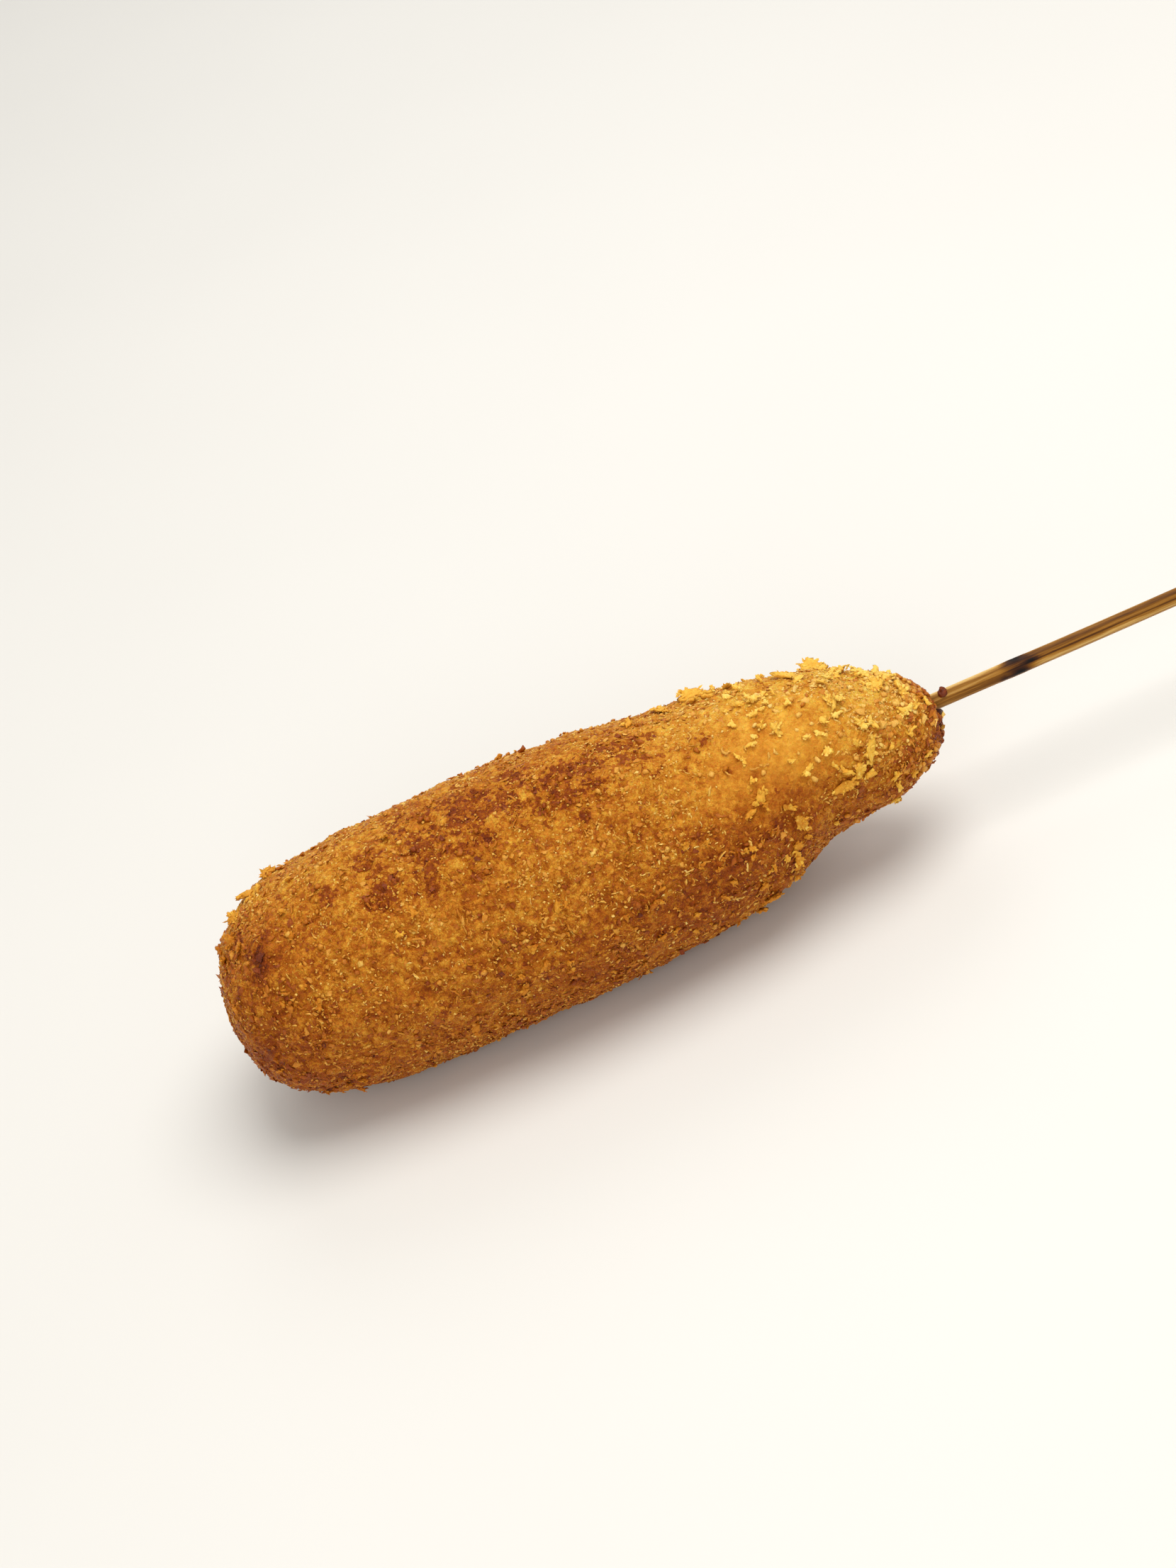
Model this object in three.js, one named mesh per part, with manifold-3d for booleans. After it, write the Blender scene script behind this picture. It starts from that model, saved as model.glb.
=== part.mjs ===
// A corn dog in a panko crust on a bamboo skewer, lying level on a table.
//
// Units are millimetres. The origin is the middle of the small flat spot that the crust rests on.
// +X runs along the skewer to its free end, +Z is up, and -Y is the front.
// A "station" is a distance along the skewer, from where it enters the crust (0) to the blunt tip.
// An "angle" goes round the skewer, in degrees: 0 is the front (-Y), 90 the top, -90 the underside.

import * as THREE from 'three';
import { mergeVertices } from 'three/addons/utils/BufferGeometryUtils.js';
import Module from 'manifold-3d';

const wasm = await Module();
wasm.setup();

// ---- Driving dimensions -------------------------------------------------------------------

// Crust, without its crumbs: nearly half an ellipse towards the skewer, a blunter curve at the tip.
// Its middle line rises by the axis rise from the neck to the skewer's line where the skewer enters.
const BODY_LENGTH = 129.5;
const BODY_RADIUS = 21.6;
const GIRTH_STATION = 84;
const NECK_POWER = 2.1;
const BLUNT_POWER = 3.4;
const NECK_STATION = 40;
const AXIS_RISE = 1.5;
const FLAT_DEPTH = 0.8;

// The crust draws in round the skewer: how deep, and how far out from it.
const DIMPLE = { depth: 1.2, reach: 5 };

// The mesh that carries the crumb relief: rings of facets, a share of a facet's size apart.
const FACET_SIZE = 2.5;
const FACET_JITTER = 0.24;
const RING_SPACING = 0.87;
const LAST_RING_GAP = 0.6;
const LEAST_SIDES = 7;
const PROFILE_SAMPLES = 4000;
const NORMAL_STEP = 0.05;

// Crumb relief.
const LUMPS = [
  { size: 11, height: 0.55 },
  { size: 4.6, height: 0.5 },
];
const CRUMB_HEIGHT = 0.38;

// Swells (+) and pinches (-) of the dough: how high, where, and how far they reach both ways.
// They fade out at both ends, where the crust is narrower than the fade radius.
const SWELLS = [
  { height: 0.8, station: 6, angle: -70, reach: 8, spread: 90 },
  { height: -1.1, station: 8, angle: 120, reach: 8, spread: 80 },
  { height: -2.6, station: 25, angle: -50, reach: 8, spread: 75 },
  { height: -0.6, station: 45, angle: 110, reach: 9, spread: 60 },
  { height: -0.7, station: 108, angle: 115, reach: 12, spread: 90 },
  { height: 0.6, station: 2.5, angle: -55, reach: 3.5, spread: 50 },
  { height: -1.0, station: 125.5, angle: 105, reach: 5, spread: 70 },
];
const SWELL_FADE_RADIUS = 6;

// Panko flakes: shards fused to the crust, thickest over the end that the skewer leaves.
const FLAKE_COUNT = 125;
const CROWN_SHARE = 0.5;
const CROWN_REACH = 40;
const FLAKE_LENGTH = [2.2, 4.6];
const FLAKE_SLIMNESS = [0.4, 0.75];
const FLAKE_THICKNESS = [0.9, 1.5];
const FLAKE_RAISE = 0.35;
const FLAKE_TILT = 32;
const FLAKE_RIM_POINTS = 6;
const FLAKE_RIM_JITTER = 0.5;
const FLAKE_REACH = [0.75, 1.1];
const FLAKE_RIM_WAVE = 0.35;
const FLAKE_PEAK_SHIFT = 0.2;
const FLAKE_PEAK = 0.5;
const FLAKE_ROOT = 0.8;
const TILT_RAISE = 0.25;
const SKEWER_CLEARANCE = 3.4;
const FLOOR_CLEARANCE = 1.2;

// The large shards. Turn is from the skewer's direction, tilt lifts the end that the turn points to.
const LARGE_FLAKES = [
  { station: 37.5, angle: 120, length: 3.2, width: 5.2, turn: 84, tilt: 42 },
  { station: 43, angle: 113, length: 4.6, width: 2.4, turn: 150, tilt: 12 },
  { station: 22, angle: 108, length: 4.6, width: 3.0, turn: 170, tilt: 14 },
  { station: 17.5, angle: 120, length: 3.4, width: 4.6, turn: 76, tilt: 46 },
  { station: 20.5, angle: 98, length: 2.6, width: 1.6, turn: 30, tilt: 12 },
  { station: 13.5, angle: 112, length: 5.2, width: 3.4, turn: 16, tilt: 12 },
  { station: 9.5, angle: 108, length: 4.4, width: 3.2, turn: 160, tilt: 16 },
  { station: 5.5, angle: 106, length: 3.6, width: 2.4, turn: 40, tilt: 18 },
  { station: 7, angle: 116, length: 2.6, width: 1.8, turn: 95, tilt: 46 },
  { station: 8.5, angle: 82, length: 4.4, width: 3.0, turn: 35, tilt: 18 },
  { station: 4.8, angle: 63, length: 5.4, width: 1.9, turn: 103, tilt: 14 },
  { station: 6.2, angle: 42, length: 3.4, width: 1.3, turn: 20, tilt: 12 },
  { station: 14.7, angle: 26, length: 6.2, width: 2.0, turn: 72, tilt: 18 },
  { station: 17.6, angle: 15, length: 4.0, width: 1.8, turn: 68, tilt: 16 },
  { station: 20.3, angle: 10, length: 5.4, width: 2.0, turn: 5, tilt: 12 },
  { station: 17.5, angle: 58, length: 2.4, width: 1.2, turn: 10, tilt: 10 },
  { station: 21.5, angle: 38, length: 2.6, width: 1.3, turn: -10, tilt: 12 },
  { station: 12, angle: -8, length: 2.2, width: 1.6, turn: 40, tilt: 16 },
  { station: 9.3, angle: -20, length: 1.9, width: 1.3, turn: 60, tilt: 12 },
  { station: 6, angle: -14, length: 2.4, width: 1.0, turn: 0, tilt: 12 },
  { station: 29.5, angle: 5, length: 5.0, width: 2.2, turn: 110, tilt: 16 },
  { station: 31.8, angle: -8, length: 3.2, width: 1.8, turn: 60, tilt: 14 },
  { station: 38.8, angle: -38, length: 5.6, width: 2.0, turn: 30, tilt: 8 },
  { station: 41, angle: -48, length: 3.4, width: 1.8, turn: 60, tilt: 10 },
  { station: 72, angle: 24, length: 3.0, width: 1.2, turn: 65, tilt: 14 },
  { station: 77.5, angle: 2, length: 2.6, width: 1.2, turn: 50, tilt: 14 },
  { station: 74, angle: -7, length: 2.4, width: 1.1, turn: 20, tilt: 14 },
  { station: 114.5, angle: 120, length: 4.0, width: 3.0, turn: 100, tilt: 20 },
  { station: 119.3, angle: 116, length: 4.2, width: 2.6, turn: 165, tilt: 20 },
  { station: 122.6, angle: 104, length: 4.8, width: 3.0, turn: 120, tilt: 16 },
  { station: 125, angle: 90, length: 3.8, width: 2.6, turn: 100, tilt: 14 },
];

// Bamboo skewer: a rounded square stick with grooves along its grain, and a burnt knot.
const SKEWER_LENGTH = 200;
const SKEWER_INSIDE = 100;
const SKEWER_RADIUS = 1.5;
const SKEWER_SQUARENESS = 0.06;
const SKEWER_SIDES = 16;
const SKEWER_RING_STEP = 8;
const SKEWER_WAVE = { height: 0.05, length: 9, twist: 60 };
const GROOVES = [
  { angle: 15, depth: 0.15, spread: 34 },
  { angle: 128, depth: 0.12, spread: 30 },
  { angle: 250, depth: 0.15, spread: 34 },
];
const KNOT = { distance: 15, length: 6, swell: 0.06, roughness: 0.5, patch: 40 };
const KNOT_RINGS = 9;
const KNOT_RING_GAP = 0.5;
const BURNT_BLOB = { distance: 1.7, angle: 76, radius: 0.85, roughness: [0.82, 1.12] };
const SOCKET_GAP = 0.3;
const SOCKET_SIDES = 16;
const SOCKET_LEAD = 20;
const FLOOR_DEPTH = 20;

const CRUST_SEED = 41;
const FLAKE_SEED = 7;
const BLOB_SEED = 19;

// ---- Heights that follow from these -------------------------------------------------------

const GIRTH_HEIGHT = BODY_RADIUS - FLAT_DEPTH;
const SKEWER_HEIGHT = GIRTH_HEIGHT + AXIS_RISE;

const stationX = (station) => GIRTH_STATION - station;

// ---- Random draws and noise ---------------------------------------------------------------

function randomSource(seed) {
  let state = seed >>> 0;
  return () => {
    state = (state + 0x6d2b79f5) >>> 0;
    let mixed = Math.imul(state ^ (state >>> 15), 1 | state);
    mixed = (mixed + Math.imul(mixed ^ (mixed >>> 7), 61 | mixed)) ^ mixed;
    return ((mixed ^ (mixed >>> 14)) >>> 0) / 4294967296;
  };
}

const between = (random, [low, high]) => low + (high - low) * random();

function latticeValue(x, y, z) {
  let mixed = Math.imul(x, 374761393) ^ Math.imul(y, 668265263) ^ Math.imul(z, 2147483647);
  mixed = Math.imul(mixed ^ (mixed >>> 13), 1274126177);
  return (((mixed ^ (mixed >>> 16)) >>> 0) / 4294967296) * 2 - 1;
}

const smooth = (t) => t * t * (3 - 2 * t);

// Smooth noise from -1 to 1 with one random value at each corner of a unit lattice.
function noise(x, y, z) {
  const [i, j, k] = [x, y, z].map(Math.floor);
  const [u, v, w] = [smooth(x - i), smooth(y - j), smooth(z - k)];
  const mix = THREE.MathUtils.lerp;
  const edge = (dy, dz) => mix(latticeValue(i, j + dy, k + dz), latticeValue(i + 1, j + dy, k + dz), u);
  return mix(mix(edge(0, 0), edge(1, 0), v), mix(edge(0, 1), edge(1, 1), v), w);
}

// 1 in the middle, falling to 0 over about two reaches.
const hump = (distance, reach) => Math.exp(-((distance / reach) ** 2));

// The angle between two directions round the skewer, from -180 to 180 degrees.
const angleBetween = (a, b) => ((((a - b + 180) % 360) + 360) % 360) - 180;

// ---- The crust's form ---------------------------------------------------------------------

function profileRadius(station) {
  if (station < GIRTH_STATION) {
    const back = (GIRTH_STATION - station) / GIRTH_STATION;
    return BODY_RADIUS * Math.max(0, 1 - back ** NECK_POWER) ** (1 / NECK_POWER);
  }
  const ahead = (station - GIRTH_STATION) / (BODY_LENGTH - GIRTH_STATION);
  return BODY_RADIUS * Math.max(0, 1 - ahead ** BLUNT_POWER) ** (1 / BLUNT_POWER);
}

// The crust is centred on the skewer where it leaves, and hangs below it from the neck on.
const centreHeight = (station) =>
  SKEWER_HEIGHT - AXIS_RISE * smooth(THREE.MathUtils.clamp(station / NECK_STATION, 0, 1));

// How far the crust is set back along the skewer where it draws in round it.
const drawnIn = (station) =>
  (station < GIRTH_STATION ? DIMPLE.depth * hump(profileRadius(station), DIMPLE.reach) : 0);

function swell(station, angle) {
  return SWELLS.reduce((sum, s) => sum
    + s.height * hump(station - s.station, s.reach) * hump(angleBetween(angle, s.angle), s.spread), 0);
}

// Direction from the skewer's line out to an angle, seen along X.
function outward(angle) {
  const turn = THREE.MathUtils.degToRad(angle);
  return new THREE.Vector3(0, -Math.cos(turn), Math.sin(turn));
}

// The smooth surface's point and outward normal.
function surfaceAt(station, angle) {
  const radius = profileRadius(station);
  const out = outward(angle);
  const centre = new THREE.Vector3(stationX(station) - drawnIn(station), 0, centreHeight(station));
  const point = centre.addScaledVector(out, radius);
  const low = Math.max(0, station - NORMAL_STEP);
  const high = Math.min(BODY_LENGTH, station + NORMAL_STEP);
  const slope = new THREE.Vector2(high - low, profileRadius(high) - profileRadius(low)).normalize();
  const normal = out.multiplyScalar(slope.x).add(new THREE.Vector3(slope.y, 0, 0)).normalize();
  return { point, normal };
}

function relief(point) {
  return LUMPS.reduce((sum, lump) => sum
    + lump.height * noise(...point.toArray().map((c) => c / lump.size + lump.size)), 0);
}

function crustPoint(station, angle, extra = 0) {
  const { point, normal } = surfaceAt(station, angle);
  const ends = smooth(THREE.MathUtils.clamp(profileRadius(station) / SWELL_FADE_RADIUS, 0, 1));
  return point.addScaledVector(normal, swell(station, angle) * ends + relief(point) + extra);
}

// Stations that cut the profile into stretches of about one facet each.
function ringStations() {
  const stations = [];
  let run = 0;
  let last = new THREE.Vector2(0, 0);
  for (let i = 1; i < PROFILE_SAMPLES; i += 1) {
    const station = BODY_LENGTH * smooth(i / PROFILE_SAMPLES);
    const here = new THREE.Vector2(station, profileRadius(station));
    run += here.distanceTo(last);
    last = here;
    if (run >= FACET_SIZE * RING_SPACING) {
      stations.push(station);
      run = 0;
    }
  }
  const lastGap = Math.hypot(BODY_LENGTH - stations.at(-1), profileRadius(stations.at(-1)));
  return lastGap < FACET_SIZE * LAST_RING_GAP ? stations.slice(0, -1) : stations;
}

// Triangles between two rings of points, each ring a list of { index, turn } in rising turn.
function stitch(near, far, triangles) {
  let i = 0;
  let j = 0;
  const at = (ring, n) => ring[n % ring.length];
  const turnOf = (ring, n) => at(ring, n).turn + 360 * Math.floor(n / ring.length);
  while (i < near.length || j < far.length) {
    const stepNear = j >= far.length
      || (i < near.length && turnOf(near, i + 1) + turnOf(near, i) < turnOf(far, j + 1) + turnOf(far, j));
    if (stepNear) {
      triangles.push(at(near, i).index, at(near, i + 1).index, at(far, j).index);
      i += 1;
    } else {
      triangles.push(at(near, i).index, at(far, j + 1).index, at(far, j).index);
      j += 1;
    }
  }
}

// Closes a ring onto one point; outwardFirst says which way round the triangles run.
function cap(ring, tip, outwardFirst, triangles) {
  ring.forEach((corner, n) => {
    const next = ring[(n + 1) % ring.length];
    if (outwardFirst) triangles.push(tip, next.index, corner.index);
    else triangles.push(tip, corner.index, next.index);
  });
}

function indexedGeometry(points, triangles) {
  const geometry = new THREE.BufferGeometry();
  geometry.setAttribute('position', new THREE.Float32BufferAttribute(points.flatMap((p) => p.toArray()), 3));
  geometry.setIndex(triangles);
  return geometry;
}

function crustCore() {
  const random = randomSource(CRUST_SEED);
  const points = [];
  const triangles = [];
  const addPoint = (station, angle) => {
    points.push(crustPoint(station, angle, CRUMB_HEIGHT * (random() * 2 - 1)));
    return points.length - 1;
  };
  const stations = ringStations();
  const rings = stations.map((station, row) => {
    const sides = Math.round((2 * Math.PI * profileRadius(station)) / FACET_SIZE);
    const count = Math.max(LEAST_SIDES, sides);
    const step = 360 / count;
    return Array.from({ length: count }, (_, n) => {
      const turn = step * (n + (row % 2) / 2 + FACET_JITTER * (random() * 2 - 1));
      const inner = row > 0 && row < stations.length - 1;
      const shift = inner ? FACET_SIZE * FACET_JITTER * (random() * 2 - 1) : 0;
      return { index: addPoint(station + shift, turn), turn };
    });
  });
  cap(rings[0], addPoint(0, 0), true, triangles);
  rings.slice(1).forEach((ring, n) => stitch(rings[n], ring, triangles));
  cap(rings.at(-1), addPoint(BODY_LENGTH, 0), false, triangles);
  return indexedGeometry(points, triangles);
}

// ---- Flakes -------------------------------------------------------------------------------

// A shard: a ragged rim round a raised middle, with a blunt point below.
function shard(length, width, thickness, random) {
  const rim = Array.from({ length: FLAKE_RIM_POINTS }, (_, n) => {
    const turn = (2 * Math.PI * (n + FLAKE_RIM_JITTER * random())) / FLAKE_RIM_POINTS;
    const reach = between(random, FLAKE_REACH);
    return new THREE.Vector3(
      0.5 * length * reach * Math.cos(turn),
      0.5 * width * reach * Math.sin(turn),
      FLAKE_RIM_WAVE * thickness * (random() - 0.5),
    );
  });
  const peak = new THREE.Vector3(FLAKE_PEAK_SHIFT * length * (random() - 0.5), 0, FLAKE_PEAK * thickness);
  const root = new THREE.Vector3(0, 0, -FLAKE_ROOT * thickness);
  const points = [...rim, peak, root];
  const ring = rim.map((_, index) => ({ index }));
  const triangles = [];
  cap(ring, FLAKE_RIM_POINTS, false, triangles);
  cap(ring, FLAKE_RIM_POINTS + 1, true, triangles);
  return indexedGeometry(points, triangles);
}

// Lays a shard on the crust with its rim raised a little; the tilt lifts its leading end more.
function placeOnCrust(geometry, { station, angle, turn, tilt }, raise) {
  const { normal } = surfaceAt(station, angle);
  const along = new THREE.Vector3(1, 0, 0).projectOnPlane(normal).normalize();
  const across = new THREE.Vector3().crossVectors(normal, along);
  const spin = new THREE.Matrix4().makeRotationZ(THREE.MathUtils.degToRad(turn));
  const lift = new THREE.Matrix4().makeRotationY(-THREE.MathUtils.degToRad(tilt));
  const place = new THREE.Matrix4().makeBasis(along, across, normal);
  place.setPosition(crustPoint(station, angle, raise));
  return geometry.applyMatrix4(lift).applyMatrix4(spin).applyMatrix4(place);
}

function largeFlakes(random) {
  return LARGE_FLAKES.map((flake) => {
    const thickness = FLAKE_THICKNESS[1];
    const lift = Math.sin(THREE.MathUtils.degToRad(flake.tilt)) * flake.length * TILT_RAISE;
    return placeOnCrust(shard(flake.length, flake.width, thickness, random), flake, FLAKE_RAISE + lift);
  });
}

function clearOfNeighbours(geometry) {
  geometry.computeBoundingBox();
  const { min, max } = geometry.boundingBox;
  const overFloor = min.z > FLOOR_CLEARANCE;
  const centre = geometry.boundingBox.getCenter(new THREE.Vector3());
  const fromSkewer = Math.hypot(centre.y, centre.z - SKEWER_HEIGHT);
  const besideSkewer = fromSkewer > SKEWER_CLEARANCE || max.x < stationX(GIRTH_STATION);
  return overFloor && besideSkewer;
}

function smallFlakes(random) {
  const flakes = [];
  while (flakes.length < FLAKE_COUNT) {
    const onCrown = random() < CROWN_SHARE;
    const reach = onCrown ? CROWN_REACH : BODY_LENGTH;
    const station = reach * random();
    const place = {
      station,
      angle: 360 * random(),
      turn: 360 * random(),
      tilt: FLAKE_TILT * random(),
    };
    const length = between(random, FLAKE_LENGTH);
    const width = length * between(random, FLAKE_SLIMNESS);
    const thickness = between(random, FLAKE_THICKNESS);
    const flake = placeOnCrust(shard(length, width, thickness, random), place, FLAKE_RAISE);
    const evenSpread = random() * BODY_RADIUS < profileRadius(station);
    if (evenSpread && clearOfNeighbours(flake)) flakes.push(flake);
  }
  return flakes;
}

// ---- Joining and cutting ------------------------------------------------------------------

function toSolid(geometry) {
  const bare = geometry.clone();
  bare.deleteAttribute('normal');
  bare.deleteAttribute('uv');
  const merged = mergeVertices(bare, 1e-5);
  return new wasm.Manifold(new wasm.Mesh({
    numProp: 3,
    vertProperties: Float32Array.from(merged.attributes.position.array),
    triVerts: Uint32Array.from(merged.index.array),
  }));
}

// The largest body of a solid, without the scraps and sealed hollows that joining can leave.
function mainBody(solid) {
  return solid.decompose().reduce((best, part) => (part.volume() > best.volume() ? part : best));
}

function toGeometry(solid) {
  const mesh = solid.getMesh();
  const geometry = new THREE.BufferGeometry();
  geometry.setAttribute('position', new THREE.BufferAttribute(mesh.vertProperties, 3));
  geometry.setIndex(new THREE.BufferAttribute(mesh.triVerts, 1));
  geometry.computeVertexNormals();
  return geometry;
}

// ---- The two pieces -----------------------------------------------------------------------

function socket() {
  const radius = SKEWER_RADIUS * (1 + SKEWER_SQUARENESS) + SKEWER_WAVE.height + SOCKET_GAP;
  const length = SKEWER_INSIDE + SOCKET_GAP + SOCKET_LEAD;
  const hole = new THREE.CylinderGeometry(radius, radius, length, SOCKET_SIDES);
  hole.rotateZ(Math.PI / 2);
  return hole.translate(stationX(0) + SOCKET_LEAD - length / 2, 0, SKEWER_HEIGHT);
}

function floorBlock() {
  const block = new THREE.BoxGeometry(3 * BODY_LENGTH, 6 * BODY_RADIUS, FLOOR_DEPTH);
  return block.translate(0, 0, -FLOOR_DEPTH / 2);
}

function crust() {
  const random = randomSource(FLAKE_SEED);
  const flakes = [...largeFlakes(random), ...smallFlakes(random)];
  const joined = flakes.reduce((solid, flake) => solid.add(toSolid(flake)), toSolid(crustCore()));
  const cut = joined.subtract(toSolid(floorBlock())).subtract(toSolid(socket()));
  return toGeometry(mainBody(cut));
}

function skewerRadius(distance, angle) {
  const grooves = GROOVES.reduce((sum, groove) => sum
    + groove.depth * hump(angleBetween(angle, groove.angle), groove.spread / 2), 0);
  const square = SKEWER_SQUARENESS * Math.cos((4 * angle * Math.PI) / 180);
  const wave = SKEWER_WAVE.height * Math.sin(distance / SKEWER_WAVE.length + angle / SKEWER_WAVE.twist);
  const knot = KNOT.swell * hump(distance - KNOT.distance, KNOT.length / 2)
    * (1 + KNOT.roughness * noise(distance, angle / KNOT.patch, 0));
  return SKEWER_RADIUS * (1 + square) - grooves + wave + knot;
}

// Distances from the crust outwards where the skewer's rings lie, closer together at the knot.
function skewerDistances() {
  const free = SKEWER_LENGTH - SKEWER_INSIDE;
  const plain = Math.round(SKEWER_LENGTH / SKEWER_RING_STEP);
  const even = Array.from({ length: plain + 1 }, (_, n) => -SKEWER_INSIDE + (SKEWER_LENGTH * n) / plain);
  const knotStart = KNOT.distance - KNOT.length;
  const knotStep = (2 * KNOT.length) / (KNOT_RINGS - 1);
  const knot = Array.from({ length: KNOT_RINGS }, (_, n) => knotStart + knotStep * n);
  const knotReach = KNOT.length + KNOT_RING_GAP * knotStep;
  const clearOfKnot = even.filter((d) => Math.abs(d - KNOT.distance) > knotReach);
  return [...clearOfKnot, ...knot].filter((d) => d <= free).sort((a, b) => b - a);
}

function stick() {
  const points = [];
  const triangles = [];
  const rings = skewerDistances().map((distance) => Array.from({ length: SKEWER_SIDES }, (_, n) => {
    const turn = (360 * n) / SKEWER_SIDES;
    const point = new THREE.Vector3(stationX(-distance), 0, SKEWER_HEIGHT);
    points.push(point.addScaledVector(outward(turn), skewerRadius(distance, turn)));
    return { index: points.length - 1, turn };
  }));
  const endPoint = (distance) => points.push(new THREE.Vector3(stationX(-distance), 0, SKEWER_HEIGHT)) - 1;
  cap(rings[0], endPoint(SKEWER_LENGTH - SKEWER_INSIDE), true, triangles);
  rings.slice(1).forEach((ring, n) => stitch(rings[n], ring, triangles));
  cap(rings.at(-1), endPoint(-SKEWER_INSIDE), false, triangles);
  return indexedGeometry(points, triangles);
}

function burntBlob() {
  const random = randomSource(BLOB_SEED);
  const ball = new THREE.IcosahedronGeometry(BURNT_BLOB.radius, 1);
  ball.deleteAttribute('normal');
  ball.deleteAttribute('uv');
  const blob = mergeVertices(ball, 1e-4);
  const corner = new THREE.Vector3();
  for (let n = 0; n < blob.attributes.position.count; n += 1) {
    corner.fromBufferAttribute(blob.attributes.position, n);
    corner.multiplyScalar(between(random, BURNT_BLOB.roughness));
    blob.attributes.position.setXYZ(n, ...corner.toArray());
  }
  const centre = new THREE.Vector3(stationX(-BURNT_BLOB.distance), 0, SKEWER_HEIGHT);
  centre.addScaledVector(outward(BURNT_BLOB.angle), SKEWER_RADIUS);
  return blob.translate(...centre.toArray());
}

function skewer() {
  return toGeometry(mainBody(toSolid(stick()).add(toSolid(burntBlob()))));
}

// ---- The model ----------------------------------------------------------------------------

const crustFinish = new THREE.MeshStandardMaterial({ color: 0xc27a2a, roughness: 0.62, metalness: 0 });
const bambooFinish = new THREE.MeshStandardMaterial({ color: 0x8c5c2e, roughness: 0.5, metalness: 0 });

function namedMesh(name, geometry, material) {
  const mesh = new THREE.Mesh(geometry, material);
  mesh.name = name;
  return mesh;
}

const cornDog = new THREE.Group();
cornDog.add(namedMesh('crumbed_body', crust(), crustFinish));
cornDog.add(namedMesh('bamboo_skewer', skewer(), bambooFinish));

export default cornDog;
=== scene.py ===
"""The looks of a panko-crumbed corn dog on a bamboo skewer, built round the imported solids.

Sizes are in millimetres and angles in degrees, unless a comment says otherwise.
A "station" is a distance along the skewer, from where it enters the crust (0) to the blunt tip.
An "angle" goes round the skewer: 0 is the front (-Y), 90 the top, -90 the underside.
"""

import math

import bpy
import numpy as np
from mathutils import Matrix, Vector


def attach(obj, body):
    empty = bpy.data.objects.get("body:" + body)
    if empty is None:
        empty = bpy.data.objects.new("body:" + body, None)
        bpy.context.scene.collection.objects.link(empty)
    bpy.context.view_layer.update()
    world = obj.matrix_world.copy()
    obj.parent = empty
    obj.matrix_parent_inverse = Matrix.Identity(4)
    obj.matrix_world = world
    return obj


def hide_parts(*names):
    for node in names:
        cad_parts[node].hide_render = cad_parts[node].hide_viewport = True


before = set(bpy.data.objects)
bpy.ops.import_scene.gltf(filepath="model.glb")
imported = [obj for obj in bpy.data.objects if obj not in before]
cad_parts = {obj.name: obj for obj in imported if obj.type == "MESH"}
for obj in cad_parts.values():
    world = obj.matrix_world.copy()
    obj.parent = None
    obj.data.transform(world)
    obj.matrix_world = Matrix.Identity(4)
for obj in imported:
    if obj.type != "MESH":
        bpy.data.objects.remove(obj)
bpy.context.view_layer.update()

MM = 0.001
BODY = "root"

# ---- Form of the crust and the skewer, as in the solids ----

BODY_LENGTH = 129.5
BODY_RADIUS = 21.6
GIRTH_STATION = 84.0
NECK_POWER = 2.1
BLUNT_POWER = 3.4
AXIS_RISE = 1.5
FLAT_DEPTH = 0.8
NECK_STATION = 40.0
DIMPLE_DEPTH, DIMPLE_REACH = 1.2, 5.0  # the crust draws in round the skewer
LUMPS = ((11.0, 0.55), (4.6, 0.5))  # size, height
SWELLS = (  # height, station, angle, reach, spread
    (0.8, 6, -70, 8, 90),
    (-1.1, 8, 120, 8, 80),
    (-2.6, 25, -50, 8, 75),
    (-0.6, 45, 110, 9, 60),
    (-0.7, 108, 115, 12, 90),
    (0.6, 2.5, -55, 3.5, 50),
    (-1.0, 125.5, 105, 5, 70),
)
SWELL_FADE = 6.0  # swells die away where the crust is thinner than this
SKEWER_HEIGHT = BODY_RADIUS - FLAT_DEPTH + AXIS_RISE

SKEWER_LENGTH = 200.0
SKEWER_INSIDE = 100.0
SKEWER_RADIUS = 1.5
SKEWER_SQUARENESS = 0.06
SKEWER_WAVE = 0.05
GROOVES = ((15, 0.15, 34), (128, 0.12, 30), (250, 0.15, 34))  # angle, depth, spread
KNOT_DISTANCE = 15.0
KNOT_LENGTH = 6.0
KNOT_SWELL = 0.06
BURNT_BLOB = (1.7, 76.0, 0.85)  # distance from the crust, angle, radius

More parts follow.
